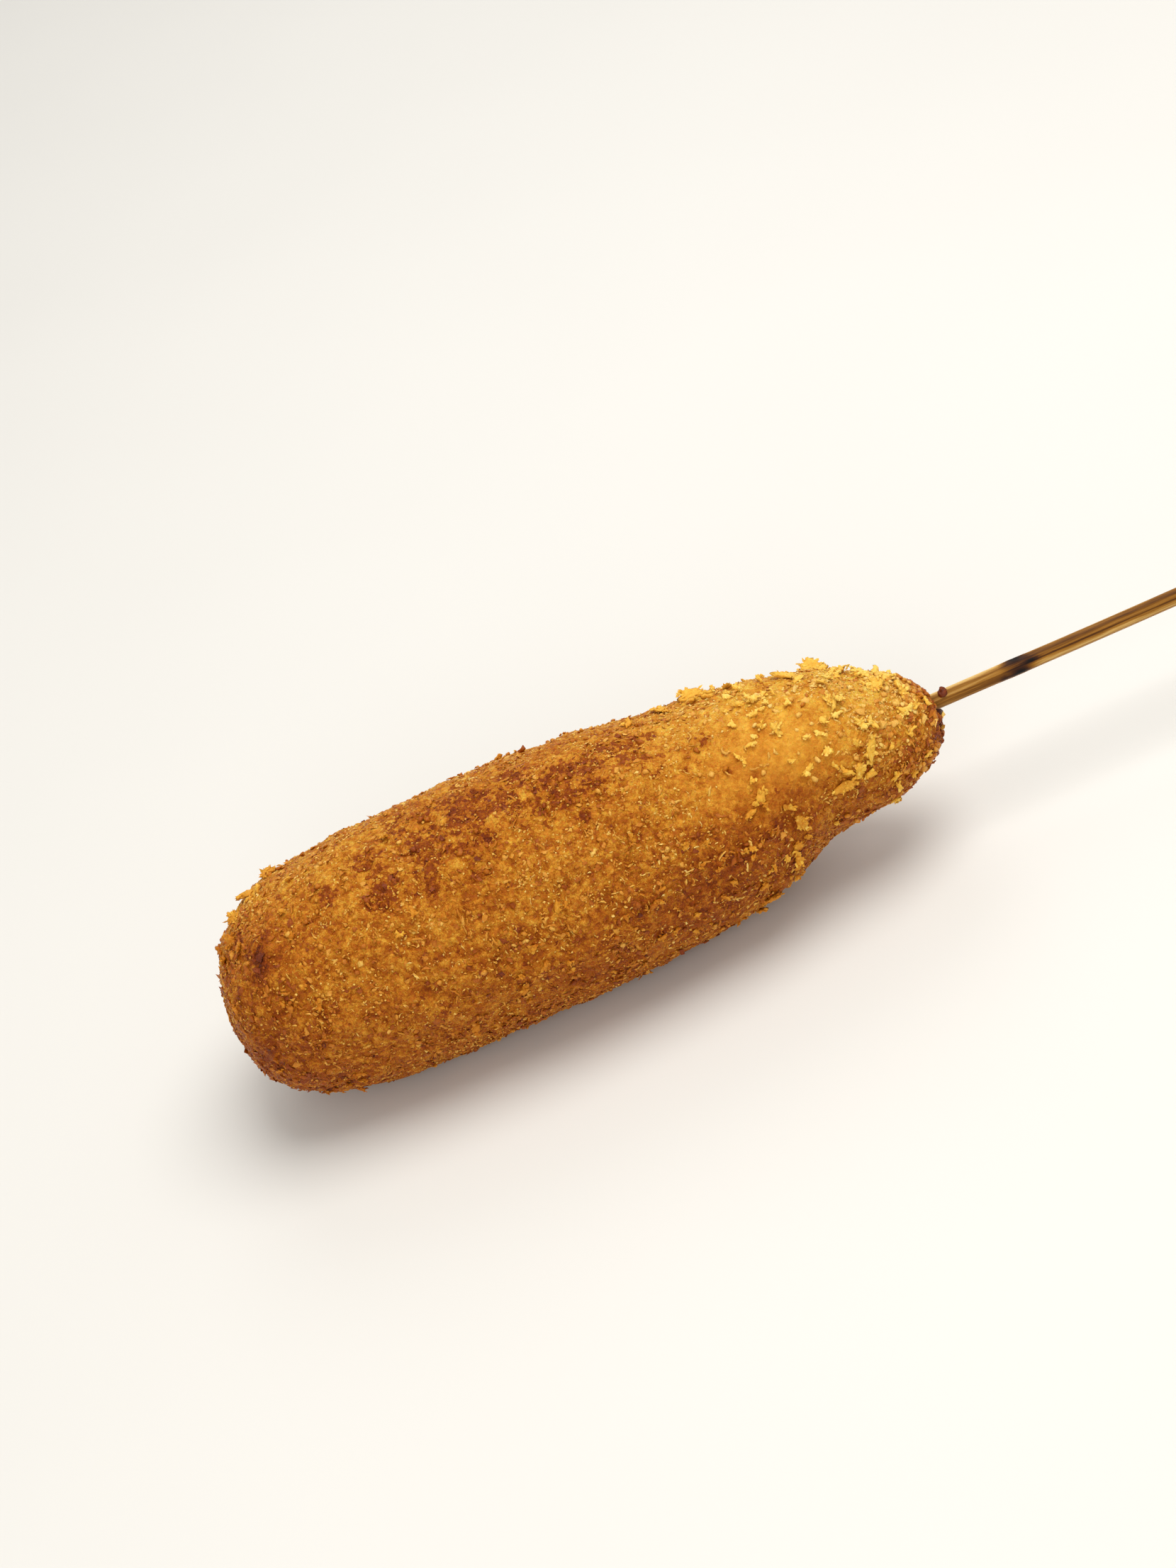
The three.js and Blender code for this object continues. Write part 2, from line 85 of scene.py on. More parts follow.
# The shards that stand out: station, angle, length, width, turn, tilt.
LARGE_FLAKES = (
    (37.5, 120, 3.2, 5.2, 84, 42),
    (43, 113, 4.6, 2.4, 150, 12),
    (22, 108, 4.6, 3.0, 170, 14),
    (17.5, 120, 3.4, 4.6, 76, 46),
    (20.5, 98, 2.6, 1.6, 30, 12),
    (13.5, 112, 5.2, 3.4, 16, 12),
    (9.5, 108, 4.4, 3.2, 160, 16),
    (5.5, 106, 3.6, 2.4, 40, 18),
    (7, 116, 2.6, 1.8, 95, 46),
    (8.5, 82, 4.4, 3.0, 35, 18),
    (4.8, 63, 5.4, 1.9, 103, 14),
    (6.2, 42, 3.4, 1.3, 20, 12),
    (14.7, 26, 6.2, 2.0, 72, 18),
    (17.6, 15, 4.0, 1.8, 68, 16),
    (20.3, 10, 5.4, 2.0, 5, 12),
    (17.5, 58, 2.4, 1.2, 10, 10),
    (21.5, 38, 2.6, 1.3, -10, 12),
    (12, -8, 2.2, 1.6, 40, 16),
    (9.3, -20, 1.9, 1.3, 60, 12),
    (6, -14, 2.4, 1.0, 0, 12),
    (29.5, 5, 5.0, 2.2, 110, 16),
    (31.8, -8, 3.2, 1.8, 60, 14),
    (38.8, -38, 5.6, 2.0, 30, 8),
    (41, -48, 3.4, 1.8, 60, 10),
    (72, 24, 3.0, 1.2, 65, 14),
    (77.5, 2, 2.6, 1.2, 50, 14),
    (74, -7, 2.4, 1.1, 20, 14),
    (114.5, 120, 4.0, 3.0, 100, 20),
    (119.3, 116, 4.2, 2.6, 165, 20),
    (122.6, 104, 4.8, 3.0, 120, 16),
    (125, 90, 3.8, 2.6, 100, 14),
)

# Single crumbs that stand out: station, angle, size, browning, rise of their middle.
LONE_CRUMBS = (
    (67.3, 122, 2.3, 0.56, 0.46),
    (56.1, -37, 2.0, 0.72, 0.4),
    (57.4, 35, 1.2, 0.6, 0.24),
    (78.4, 32, 1.2, 0.6, 0.24),
    (96.5, 40, 1.2, 0.6, 0.24),
    (0.6, 4, 2.6, 0.95, 0.6),
    (0.6, -6, 2.0, 0.12, 0.9),
    (1.2, -34, 1.5, 0.2, 0.4),
    (119.4, 58, 2.2, 0.8, 0.44),
    (120.7, 53, 1.7, 0.7, 0.34),
    (4.2, 25, 2.2, 0.12, 0.44),
    (2.6, 9, 2.0, 0.15, 0.4),
)
LONE_FULLNESS = 1.5

# ---- How finely it is made ----

CRUST_FACET = 0.46
CRUMBS = 13000  # in each of the two pieces of crumbs
CURLS = 7000
SPECKS = 9000
KNOBS = 900
MEDIUM_FLAKES = 215
FIBRES = 500

# ---- Camera and light ----

PHOTO_SIZE = (1659, 2212)
FOCAL_PX = 3900.0
SENSOR = 36.0
SIGHT_ELEVATION = 37.0
SIGHT_ROLL = 23.5
SIGHT_DISTANCE = 466.0
AIM_STATION = 65.0
AIM_HEIGHT = 22.7
AIM_PX = (819.5, 1204.0)

# Round soft lights: name; place, aim and width in metres; watts; colour.
LIGHTS = (
    ("overhead", (0.25, 0.0, 0.72), (0.0, 0, 0.02), 0.6, 4.1, (1.0, 0.97, 0.93)),
    ("front_fill", (-0.3, -0.8, 0.45), (0.02, 0, 0.02), 0.6, 2.6, (1.0, 0.98, 0.95)),
    ("back_fill", (0.1, 0.7, 0.6), (0.02, 0, 0.02), 0.5, 1.2, (1, 1, 1)),
)
ROOM_COLOUR, ROOM_STRENGTH = (1.0, 0.975, 0.915, 1), 0.55
FLOOR_METRES = 6


# ---- Noise ----

HASH_PRIMES = (374761393, 668265263, 2147483647)
HASH_MIXER = 1274126177
BUMP_SHIFT = 0.42  # how far a grain may lie from the middle of its cell, in cells
BUMP_FALL = 1.6


def lattice_value(x, y, z):
    """A random value from -1 to 1 at each whole-numbered corner, the same one every time."""
    mixed = np.uint32(0)
    for corner, prime in zip((x, y, z), HASH_PRIMES):
        mixed = mixed ^ corner.astype(np.int64).astype(np.uint32) * np.uint32(prime)
    mixed = (mixed ^ (mixed >> np.uint32(13))) * np.uint32(HASH_MIXER)
    return (mixed ^ (mixed >> np.uint32(16))) / 2.0**32 * 2 - 1


def smooth(t):
    """A soft step: 0 up to t = 0, and 1 from t = 1 on."""
    t = np.clip(t, 0, 1)
    return t * t * (3 - 2 * t)


def noise(points):
    """Smooth noise from -1 to 1, with one random value at each corner of a unit lattice."""
    base = np.floor(points)
    u, v, w = smooth(points - base).T
    i, j, k = base.T

    def edge(dy, dz):
        near = lattice_value(i, j + dy, k + dz)
        return near + (lattice_value(i + 1, j + dy, k + dz) - near) * u

    low = edge(0, 0) + (edge(1, 0) - edge(0, 0)) * v
    high = edge(0, 1) + (edge(1, 1) - edge(0, 1)) * v
    return low + (high - low) * w


def layered(points, layers):
    """The sum of layers of noise, each with its strength, size and offset."""
    return sum(strength * noise(points / size + offset) for strength, size, offset in layers)


def bumps(points, size):
    """Round grains packed at random: 1 on top of a grain, 0 in the dips between them."""
    at = points / size
    base = np.floor(at)
    best = np.full(len(points), np.inf)
    for step in np.ndindex(3, 3, 3):
        cell = base + np.array(step) - 1
        i, j, k = cell.T
        offset = np.stack([lattice_value(i + 11 * n, j - 7 * n, k + 5 * n) for n in (1, 2, 3)], 1)
        middle = cell + 0.5 + BUMP_SHIFT * offset
        best = np.minimum(best, np.linalg.norm(middle - at, axis=1))
    return np.clip(1 - best**2 * BUMP_FALL, 0, 1)


def hump(distance, reach):
    """1 in the middle, about a third at the reach, and 0 well beyond it."""
    return np.exp(-((distance / reach) ** 2))


def angle_between(a, b):
    return (a - b + 180) % 360 - 180


def zones(station, angle, table):
    """The sum of soft zones, each with its value, station, angle, reach and spread."""
    total = np.zeros_like(station)
    for value, at, facing, reach, spread in table:
        total += value * hump(station - at, reach) * hump(angle_between(angle, facing), spread)
    return total


# ---- The crust's surface ----

SLOPE_STEP = 0.05  # slopes are measured over this far either way


def profile_radius(station):
    back = (GIRTH_STATION - station) / GIRTH_STATION
    ahead = np.maximum(0, (station - GIRTH_STATION) / (BODY_LENGTH - GIRTH_STATION))
    near = BODY_RADIUS * (1 - np.clip(back, 0, 1)**NECK_POWER) ** (1 / NECK_POWER)
    far = BODY_RADIUS * np.clip(1 - ahead**BLUNT_POWER, 0, 1) ** (1 / BLUNT_POWER)
    return np.where(station < GIRTH_STATION, near, far)


def outward(angle):
    turn = np.radians(angle)
    return np.stack([np.zeros_like(turn), -np.cos(turn), np.sin(turn)], 1)


def surface_at(station, angle):
    """Points and outward normals of the smooth surface, and the lift of its swells and lumps."""
    radius = profile_radius(station)
    out = outward(angle)
    height = SKEWER_HEIGHT - AXIS_RISE * smooth(station / NECK_STATION)
    drawn_in = DIMPLE_DEPTH * hump(radius, DIMPLE_REACH) * (station < GIRTH_STATION)
    centre = np.stack([GIRTH_STATION - station - drawn_in, np.zeros_like(station), height], 1)
    points = centre + out * radius[:, None]
    low = np.maximum(0, station - SLOPE_STEP)
    high = np.minimum(BODY_LENGTH, station + SLOPE_STEP)
    run, rise = high - low, profile_radius(high) - profile_radius(low)
    length = np.hypot(run, rise)
    normals = out * (run / length)[:, None]
    normals[:, 0] = rise / length
    lift = zones(station, angle, SWELLS) * smooth(radius / SWELL_FADE)
    for size, tall in LUMPS:
        lift += tall * noise(points / size + size)
    return points, normals, lift


# ---- Browning ----

ALL_ROUND = math.inf
BARE_PATCH = (29, 50, 14, 32)  # station, angle, reach, spread
ROUGH_FLANK = (46, -4, 24, 34)
BASE_TOAST = 0.47
TOAST_NOISE = ((0.04, 13.0, 3.0), (0.035, 3.4, 8.0), (0.05, 1.3, 17.0))  # browning, size, offset
TOAST_AND_HIGHLIGHT_ZONES = (  # browning, station, angle, reach, spread
    # First row: paler over the top of the stick end, partly the crust's pale gold and partly a painted
    # highlight of the light from above.
    (-0.19, 14, 85, 26, 72),
    (0.08, 38, 12, 18, 20),
    (0.28, 119.6, 56, 1.6, 6),
    (-0.17, 121, 108, 6, 26),
    (0.28, 0, 0, 3.3, ALL_ROUND),
    (-0.045, *BARE_PATCH),
    (0.05, *ROUGH_FLANK),
)
TIP_BROWNING, TIP_START, TIP_FADE = 0.08, 110, 12
# The front grows darker downwards from an angle, over some degrees, as far as an edge below: partly the
# crust's browning, partly painted shade on the underside.
FRONT_BROWNING_AND_SHADE, FRONT_TOP, FRONT_FADE, FRONT_EDGE = 0.1, 40, 60, 110
# Small round spots, where bumps as far apart as this are higher than the start.
SPOT_BROWNING, SPOT_SPACING, SPOT_START, SPOT_FADE = 0.14, 9.0, 0.975, 0.02
# A faint halo lies round the scorches.
HALO_BROWNING, HALO_GAIN = 0.05, 1.6

# Where the pan scorched the upper side: station, angle, half length, half width, strength.
SCORCHES = (
    (74, 80, 32.0, 8.5, 0.45),
    (40, 70, 2.4, 2.0, 0.6),
    (52, 84, 6.0, 4.2, 1.0),
    (58, 80, 5.0, 3.2, 1.0),
    (59, 69, 3.0, 1.6, 1.0),
    (61.8, 55, 1.7, 1.4, 0.9),
    (66, 81, 4.0, 3.4, 1.0),
    (66, 68, 4.4, 2.2, 1.0),
    (67.5, 60, 1.8, 2.2, 0.9),
    (70.5, 93, 2.6, 3.0, 0.8),
    (79, 80, 5.0, 3.6, 1.0),
    (81, 92, 3.2, 2.4, 0.8),
    (79.5, 64, 3.6, 1.8, 1.0),
    (81, 52, 2.2, 2.6, 0.75),
    (87, 76, 3.6, 3.0, 1.0),
    (87.5, 67, 4.8, 2.0, 1.0),
    (88.6, 57, 1.9, 2.8, 1.0),
    (91, 94, 2.4, 5.0, 0.7),
    (97, 63, 4.4, 4.0, 1.0),
    (97.5, 80, 4.4, 2.6, 0.9),
    (105, 71, 2.2, 2.4, 0.9),
    (120.6, 98, 1.4, 1.6, 1.0),
    (123.4, 82, 1.8, 1.8, 1.0),
    (120.0, 64, 2.0, 2.0, 1.0),
)
SCORCH_EDGE = 0.5  # scorched from here on
SCORCH_BROWNING = 0.15
SCORCH_BASE, SCORCH_RISE, SCORCH_GAIN = 0.06, 0.56, 1.3
SCORCH_NOISE = ((0.24, (2.6, 1.7, 1.7), 4.5), (0.24, 1.1, 9.5))


def scorched(station, angle, points):
    """How near the crust is to scorched, which makes scabs a few millimetres long."""
    reach = np.zeros_like(station)
    for at, facing, half_length, half_width, strength in SCORCHES:
        around = np.radians(angle_between(angle, facing)) * profile_radius(at)
        scab = strength * hump(station - at, half_length) * hump(around, half_width)
        reach = np.maximum(reach, scab)
    return SCORCH_BASE + SCORCH_RISE * smooth(reach * SCORCH_GAIN) + layered(points, SCORCH_NOISE)


def bare_patch(station, angle):
    """1 in the bare, glassy patch above the neck, where few crumbs stick, and 0 elsewhere."""
    return zones(station, angle, [(1, *BARE_PATCH)])


def rough_flank(station, angle):
    """1 on the coarse lower flank, where pale crumbs stand on a browner ground, and 0 elsewhere."""
    return zones(station, angle, [(1, *ROUGH_FLANK)])


def toast(station, angle, points):
    """How browned the crust is, from 0 (pale) to 1 (burnt), with painted shade on the underside and a
    painted highlight on the top of the stick end.
    """
    value = BASE_TOAST + layered(points, TOAST_NOISE) + zones(station, angle, TOAST_AND_HIGHLIGHT_ZONES)
    value += HALO_BROWNING * smooth(scorched(station, angle, points) * HALO_GAIN)
    front = angle_between(angle, 0)
    # Partly painted shade: the front darkens downwards.
    value += FRONT_BROWNING_AND_SHADE * smooth((FRONT_TOP - front) / FRONT_FADE) * (np.abs(front) < FRONT_EDGE)
    value += TIP_BROWNING * smooth((station - TIP_START) / TIP_FADE)
    value += SPOT_BROWNING * smooth((bumps(points, SPOT_SPACING) - SPOT_START) / SPOT_FADE)
    return value


# ---- Meshes ----

MAP_MARGIN = 0.002
MAP_TURN = 0.97  # the share of a map that one turn takes; faces over its seam use the rest


def new_mesh(name, points, faces, tone, uv, material, scorch=0.0, bare=0.0, rounded=True):
    """A piece from points in millimetres, with its browning per point (painted shade and highlights
    included) and a map per corner.
    """
    points = points.copy()
    points[:, 2] = np.maximum(points[:, 2], 0)  # nothing reaches into what it lies on
    mesh = bpy.data.meshes.new(name)
    mesh.vertices.add(len(points))
    mesh.vertices.foreach_set("co", (points * MM).astype(np.float32).ravel())
    mesh.loops.add(faces.size)
    mesh.loops.foreach_set("vertex_index", faces.ravel().astype(np.int32))
    mesh.polygons.add(len(faces))
    mesh.polygons.foreach_set("loop_start", np.arange(0, faces.size, faces.shape[1], dtype=np.int32))
    mesh.polygons.foreach_set("use_smooth", np.full(len(faces), rounded))
    mesh.update(calc_edges=True)
    layer = mesh.uv_layers.new(name="OFBake")
    layer.uv.foreach_set("vector", uv.astype(np.float32).ravel())
    for label, values in (("toast", tone), ("scorch", scorch), ("bare", bare)):
        attribute = mesh.attributes.new(label, "FLOAT", "POINT")
        attribute.data.foreach_set("value", (values + 0 * tone).astype(np.float32))
    mesh.materials.append(material)
    piece = bpy.data.objects.new(name, mesh)
    bpy.context.scene.collection.objects.link(piece)
    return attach(piece, BODY)


def fan(tip, first, sides):
    """Triangles from a tip to a ring of points."""
    side = np.arange(sides)
    return np.stack([tip + 0 * side, first + side, first + (side + 1) % sides], 1)


def tube(rings, sides):
    """Triangles between rings of points that follow one another."""
    a = np.arange((rings - 1) * sides)
    b = a - a % sides + (a + 1) % sides
    return np.concatenate([np.stack([a, a + sides, b + sides], 1), np.stack([a, b + sides, b], 1)])


def closed_tube(rings, sides):
    """Triangles of a tube and of its two ends, each with a tip that comes after all rings."""
    tip = rings * sides
    ends = [fan(tip, 0, sides), fan(tip + 1, tip - sides, sides)[:, ::-1]]
    return np.concatenate([tube(rings, sides), *ends])


def ball_points(leans, sides):
    """Points of a unit ball: a ring at each lean from the top."""
    lean = np.repeat(leans, sides)
    turn = np.tile(np.arange(sides) * 2 * np.pi / sides, len(leans))
    return np.stack([np.sin(lean) * np.cos(turn), np.sin(lean) * np.sin(turn), np.cos(lean)], 1)


def turns(angle, faces):
    """Turns round the skewer at the corners of faces, over 1 past the seam of those that cross it."""
    turn = angle[faces] / 360
    return turn + (np.ptp(turn, axis=1, keepdims=True) > 0.5) * (turn < 0.5)


# The crust

ROW_SPACING = 0.87  # of a facet, so that triangles come out nearly even
LEAST_SIDES = 6
CRUST_GRAINS = ((0.2, 1.6, 0), (0.18, 0.95, 40))  # height, size, offset
CRUST_NOISE = ((0.14, 0.8, 0), (0.16, 2.3, 60))  # height, size, offset
GRAIN_MIDDLE = 0.2
BARE_SMOOTHNESS = 0.5
# Painted shade: the crust is browner in the dips between its grains and paler on their tops.
DIP_PAINTED_SHADE = 0.3


def stitch(near, far):
    """Triangles between two rings, each (first index, count, first turn), in rising turn."""
    (near_first, near_count, near_turn), (far_first, far_count, far_turn) = near, far
    i, j = np.arange(near_count), np.arange(far_count)
    near_mid = near_turn + 360 / near_count * (i + 0.5)
    far_mid = far_turn + 360 / far_count * (j + 0.5)
    facing_near = far_first + np.searchsorted(far_mid, near_mid, "right") % far_count
    facing_far = near_first + np.searchsorted(near_mid, far_mid, "left") % near_count
    return np.concatenate([
        np.stack([near_first + i, near_first + (i + 1) % near_count, facing_near], 1),
        np.stack([facing_far, far_first + (j + 1) % far_count, far_first + j], 1),
    ])


def ring_stations(facet):
    """Stations that cut the profile into stretches of about one facet, and their run along it."""
    fine = BODY_LENGTH * smooth(np.linspace(0, 1, 20001))
    steps = np.hypot(np.diff(fine), np.diff(profile_radius(fine)))
    run = np.concatenate([[0], np.cumsum(steps)])
    wanted = np.arange(facet * 0.5, run[-1] - facet * 0.3, facet * ROW_SPACING)
    return np.interp(wanted, run, fine), wanted / run[-1]


def crust_grid():
    """Station, angle and run of every point, the two tips last, and the triangles between them."""
    stations, runs = ring_stations(CRUST_FACET)
    sides = np.round(2 * math.pi * profile_radius(stations) / CRUST_FACET)
    counts = np.maximum(LEAST_SIDES, sides).astype(int)
    firsts = np.cumsum(counts) - counts
    starts = np.where(np.arange(len(counts)) % 2, 180 / counts, 0)
    angle = np.concatenate([start + np.arange(n) * 360 / n for start, n in zip(starts, counts)])
    rings = list(zip(firsts.tolist(), counts.tolist(), starts.tolist()))
    tip = len(angle)
    faces = [stitch(near, far) for near, far in zip(rings[:-1], rings[1:])]
    faces += [fan(tip, 0, counts[0])[:, ::-1], fan(tip + 1, firsts[-1], counts[-1])]
    station = np.append(np.repeat(stations, counts), [0, BODY_LENGTH])
    run = np.append(np.repeat(runs, counts), [0, 1])
    return station, np.append(angle, [0, 0]), run, np.concatenate(faces)


def crust_mesh(name, seed, material):
    """The crust itself, with grains a crumb across pressed out of it."""
    station, angle, run, faces = crust_grid()
    points, normals, lift = surface_at(station, angle)
    jitter = np.random.default_rng(seed).uniform(-0.07, 0.07, len(points))
    grain = sum(height * bumps(points + offset, size) for height, size, offset in CRUST_GRAINS)
    grain += layered(points, CRUST_NOISE) + jitter
    bare = bare_patch(station, angle)
    grain = (grain - GRAIN_MIDDLE) * (1 - BARE_SMOOTHNESS * bare)
    points = points + normals * (lift + grain)[:, None]
    # Painted shade in the dips between grains.
    tone = toast(station, angle, points) - DIP_PAINTED_SHADE * grain
    along = MAP_MARGIN + (1 - 2 * MAP_MARGIN) * run[faces]
    uv = np.stack([along, MAP_MARGIN + MAP_TURN * turns(angle, faces)], 2)
    return new_mesh(name, points, faces, tone, uv, material, scorched(station, angle, points), bare)


# Small pieces on the crust

COVER = 0.82
COVER_NOISE = ((0.25, 7.0, 44.0),)  # share, size, offset
COVER_ZONES = ((-0.65, *BARE_PATCH), (0.5, 5, 0, 10, ALL_ROUND))
CELL_FILL = 0.4  # of a cell, from its middle

# How pieces sit: the greatest tilt in radians, and the least and most rise of their middle.
SPECK_SEAT = (0.6, (-0.02, 0.12))
CURL_SEAT = (0.35, (-0.1, 0.08))
KNOB_SEAT = (0.4, (-0.1, 0.3))
FIBRE_SEAT = (0.5, (0.05, 0.3))

SCORCH_BLUR = 0.1  # crumbs are scorched from here or there round the edge
# A share of the crumbs is paler: partly pale crumbs, partly painted glints of the light on oily crumbs.
PALE_AND_GLINT_SHARE, PALENESS_AND_GLINT, FLANK_PALENESS = 0.3, 0.12, 0.1

# Lengths of crumbs and curls spread on a log scale, between a least and a most.
LOG_LENGTH, LEAST_LENGTH = -0.3, 0.35


def area_stations(random, count):
    """Random stations, as dense everywhere as the surface has room."""
    fine = np.linspace(0, BODY_LENGTH, 2001)
    run = np.hypot(np.diff(fine), np.diff(profile_radius(fine)))
    area = run * profile_radius((fine[1:] + fine[:-1]) / 2)
    share = np.concatenate([[0], np.cumsum(area)]) / area.sum()
    return np.interp(random.random(count), share, fine)


def cover(station, angle, points):
    """Share of the crust that crumbs cover: bare, glassy spots lie between crowded ones."""
    return COVER + layered(points, COVER_NOISE) + zones(station, angle, COVER_ZONES)


def scatter(random, count):
    """Random places on the crust, most of them where crumbs are crowded."""
    station = area_stations(random, count * 2)
    angle = random.uniform(-180, 180, count * 2)
    points = surface_at(station, angle)[0]
    kept = np.argsort(random.random(count * 2) - cover(station, angle, points))[:count]
    return station[kept], angle[kept]


def axes_on(normals, turn, tilt):
    """Frames (along, across, up) standing on the normals, turned about them and tilted."""
    along = np.zeros_like(normals)
    along[:, 0] = 1
    along -= normals * (along * normals).sum(1, keepdims=True)
    length = np.linalg.norm(along, axis=1, keepdims=True)
    along = np.where(length > 1e-3, along / np.maximum(length, 1e-9), (0, 0, 1))
    across = np.cross(normals, along)
    cos, sin = np.cos(turn)[:, None], np.sin(turn)[:, None]
    ahead, side = along * cos + across * sin, across * cos - along * sin
    cos, sin = np.cos(tilt)[:, None], np.sin(tilt)[:, None]
    return np.stack([ahead * cos + normals * sin, side, normals * cos - ahead * sin], 1)


def lay(local, station, angle, turn, tilt, raised):
    """Small pieces stood on the crust: turned about its normal, tilted and raised."""
    points, normals, lift = surface_at(station, angle)
    centre = points + normals * (lift + raised)[:, None]
    return np.einsum("nvi,nij->nvj", local, axes_on(normals, turn, tilt)) + centre[:, None]


def lay_at_random(random, local, station, angle, most_tilt, rise):
    """Small pieces stood on the crust with any turn, and a random tilt and rise."""
    count = len(local)
    turn = random.uniform(0, 2 * np.pi, count)
    tilt = random.uniform(0, most_tilt, count)
    return lay(local, station, angle, turn, tilt, random.uniform(*rise, count))


def cell_map(count, local, triangles):
    """A map on which each small piece has a square of its own, so that it keeps its own colour."""
    columns = math.ceil(math.sqrt(count))
    cell = np.stack([np.arange(count) % columns, np.arange(count) // columns], 1)[:, None] + 0.5
    span = np.abs(local).max(axis=1, keepdims=True)
    uv = (cell + local / np.maximum(span, 1e-9) * CELL_FILL) / columns
    return uv[:, triangles.ravel()]


def scattered(name, local, placed, triangles, tones, material, rounded=True):
    """Many small pieces as one mesh; their tones are per piece or per corner."""
    count, corners = local.shape[:2]
    faces = (np.arange(count)[:, None, None] * corners + triangles).reshape(-1, 3)
    tones = np.broadcast_to(tones, (count, corners)).ravel()
    uv = cell_map(count, local[:, :, :2], triangles)
    return new_mesh(name, placed.reshape(-1, 3), faces, tones, uv, material, rounded=rounded)


def crumb_lengths(random, shape, spread, most):
    return np.clip(random.lognormal(LOG_LENGTH, spread, shape), LEAST_LENGTH, most)


def toast_at(station, angle):
    return toast(station, angle, surface_at(station, angle)[0])


def crumb_toast(random, station, angle, lighter, spread):
    """How browned each of some crumbs is; those that the pan scorched are darker than the rest."""
    count = len(station)
    near = scorched(station, angle, surface_at(station, angle)[0])
    dark = near > random.normal(SCORCH_EDGE, SCORCH_BLUR, count)
    paleness = PALENESS_AND_GLINT + FLANK_PALENESS * rough_flank(station, angle)
    # Partly painted glints: a share of the crumbs is made paler.
    pale = (random.random(count) < PALE_AND_GLINT_SHARE) * paleness
    own = random.normal(-lighter, spread, count)
    return toast_at(station, angle) + own + SCORCH_BROWNING * dark - pale * ~dark


SPECK_CORNERS = np.array([(1, 0, 0), (0, 1, 0), (-1, 0, 0), (0, -1, 0), (0, 0, 1), (0, 0, -1)], float)
SPECK_SIZE, SPECK_STRETCH, SPECK_RAGGED = (0.09, 0.24), (1.3, 1, 0.8), (0.6, 1.3)
# Painted highlights: specks are paler than the crust under them, standing in for glints.
SPECK_GLINT_PALENESS = (0.12, 0.42)


def glint_speck_mesh(name, seed, material):
    """The finest grains: pale specks painted as glints of the light on oily crumbs."""
    random = np.random.default_rng(seed)
    station, angle = scatter(random, SPECKS)
    size = random.uniform(*SPECK_SIZE, (SPECKS, 1, 1))
    ragged = random.uniform(*SPECK_RAGGED, (SPECKS, len(SPECK_CORNERS), 1))
    local = SPECK_CORNERS * ragged * size * SPECK_STRETCH
    # Painted glints: each speck is paler than the crust it sits on.
    tone = np.clip(toast_at(station, angle) - random.uniform(*SPECK_GLINT_PALENESS, SPECKS), 0, 1)
    placed = lay_at_random(random, local, station, angle, *SPECK_SEAT)
    faces = closed_tube(1, 4)
    return scattered(name, local, placed, faces, tone[:, None], material, rounded=False)


CURL_RINGS = 4
CURL_BEND, CURL_TAPER, CURL_RAGGED = (0.2, 1.8), 0.6, (0.5, 1.4)
CURL_HALF_WIDTH, CURL_HEIGHT = (0.1, 0.26), (0.06, 0.18)
CURL_ROOT = (0, 0, -0.14)
# Painted light: how much paler a curl's ridge is than its foot, as if lit from above with its sides in
# shade.
RIDGE_PAINTED_LIGHT = (0.1, 0.4)


def curl_faces():
    """Triangles round a curl, whose rings hold a left, a right and a top point."""
    triangles = [(0, 1, 2)]
    for ring in range(CURL_RINGS - 1):
        left, right, top = 3 * ring, 3 * ring + 1, 3 * ring + 2
        for a, b in ((left, top), (top, right), (right, left)):
            triangles += [(a, b + 3, a + 3), (a, b, b + 3)]
    last = 3 * (CURL_RINGS - 1)
    return np.array(triangles + [(last, last + 2, last + 1)])


def curl_mesh(name, seed, material):
    """Short bent crumbs that stand up from the crust as thin ridges."""
    random = np.random.default_rng(seed)
    station, angle = scatter(random, CURLS)
    coarse = rough_flank(station, angle)[:, None]
    length = crumb_lengths(random, (CURLS, 1), spread=0.4, most=1.9) * (1 + 0.5 * coarse)
    bend = (random.uniform(*CURL_BEND, CURLS) * random.choice((-1, 1), CURLS))[:, None]
    along = np.linspace(-1, 1, CURL_RINGS)
    lean = 0.5 * bend * along
    flat = 0 * lean
    middle = np.stack([length / bend * np.sin(lean), length / bend * (1 - np.cos(lean)), flat], -1)
    across = np.stack([-np.sin(lean), np.cos(lean), flat], -1)
    taper = (1 - CURL_TAPER * along**2) * random.uniform(*CURL_RAGGED, lean.shape)
    bulk = (1 + 0.3 * coarse) * taper
    side = across * (random.uniform(*CURL_HALF_WIDTH, (CURLS, 1)) * bulk)[..., None]
    rise = (random.uniform(*CURL_HEIGHT, (CURLS, 1)) * bulk)[..., None] * (0, 0, 1)
    sway = random.uniform(-0.8, 0.8, (CURLS, CURL_RINGS, 1))
    ridge = middle + side * sway + rise
    local = np.stack([middle + side + CURL_ROOT, middle - side + CURL_ROOT, ridge], 2)
    local = local.reshape(CURLS, -1, 3)
    tone = crumb_toast(random, station, angle, 0.04, 0.05)[:, None] - 0.1 * coarse
    on_ridge = np.arange(local.shape[1]) % 3 == 2
    # Painted light on the ridge, painted shade on the foot.
    tones = tone - random.uniform(*RIDGE_PAINTED_LIGHT, (CURLS, 1)) * on_ridge
    placed = lay_at_random(random, local, station, angle, *CURL_SEAT)
    return scattered(name, local, placed, curl_faces(), tones, material, rounded=False)


CHIP_RIM = 6
CHIP_FACES = closed_tube(1, CHIP_RIM)
CHIP_TONES = np.array([0.04] * CHIP_RIM + [-0.04, 0])
CHIP_WIDTH, CHIP_THICKNESS = (0.4, 0.85), (0.22, 0.5)  # of the length


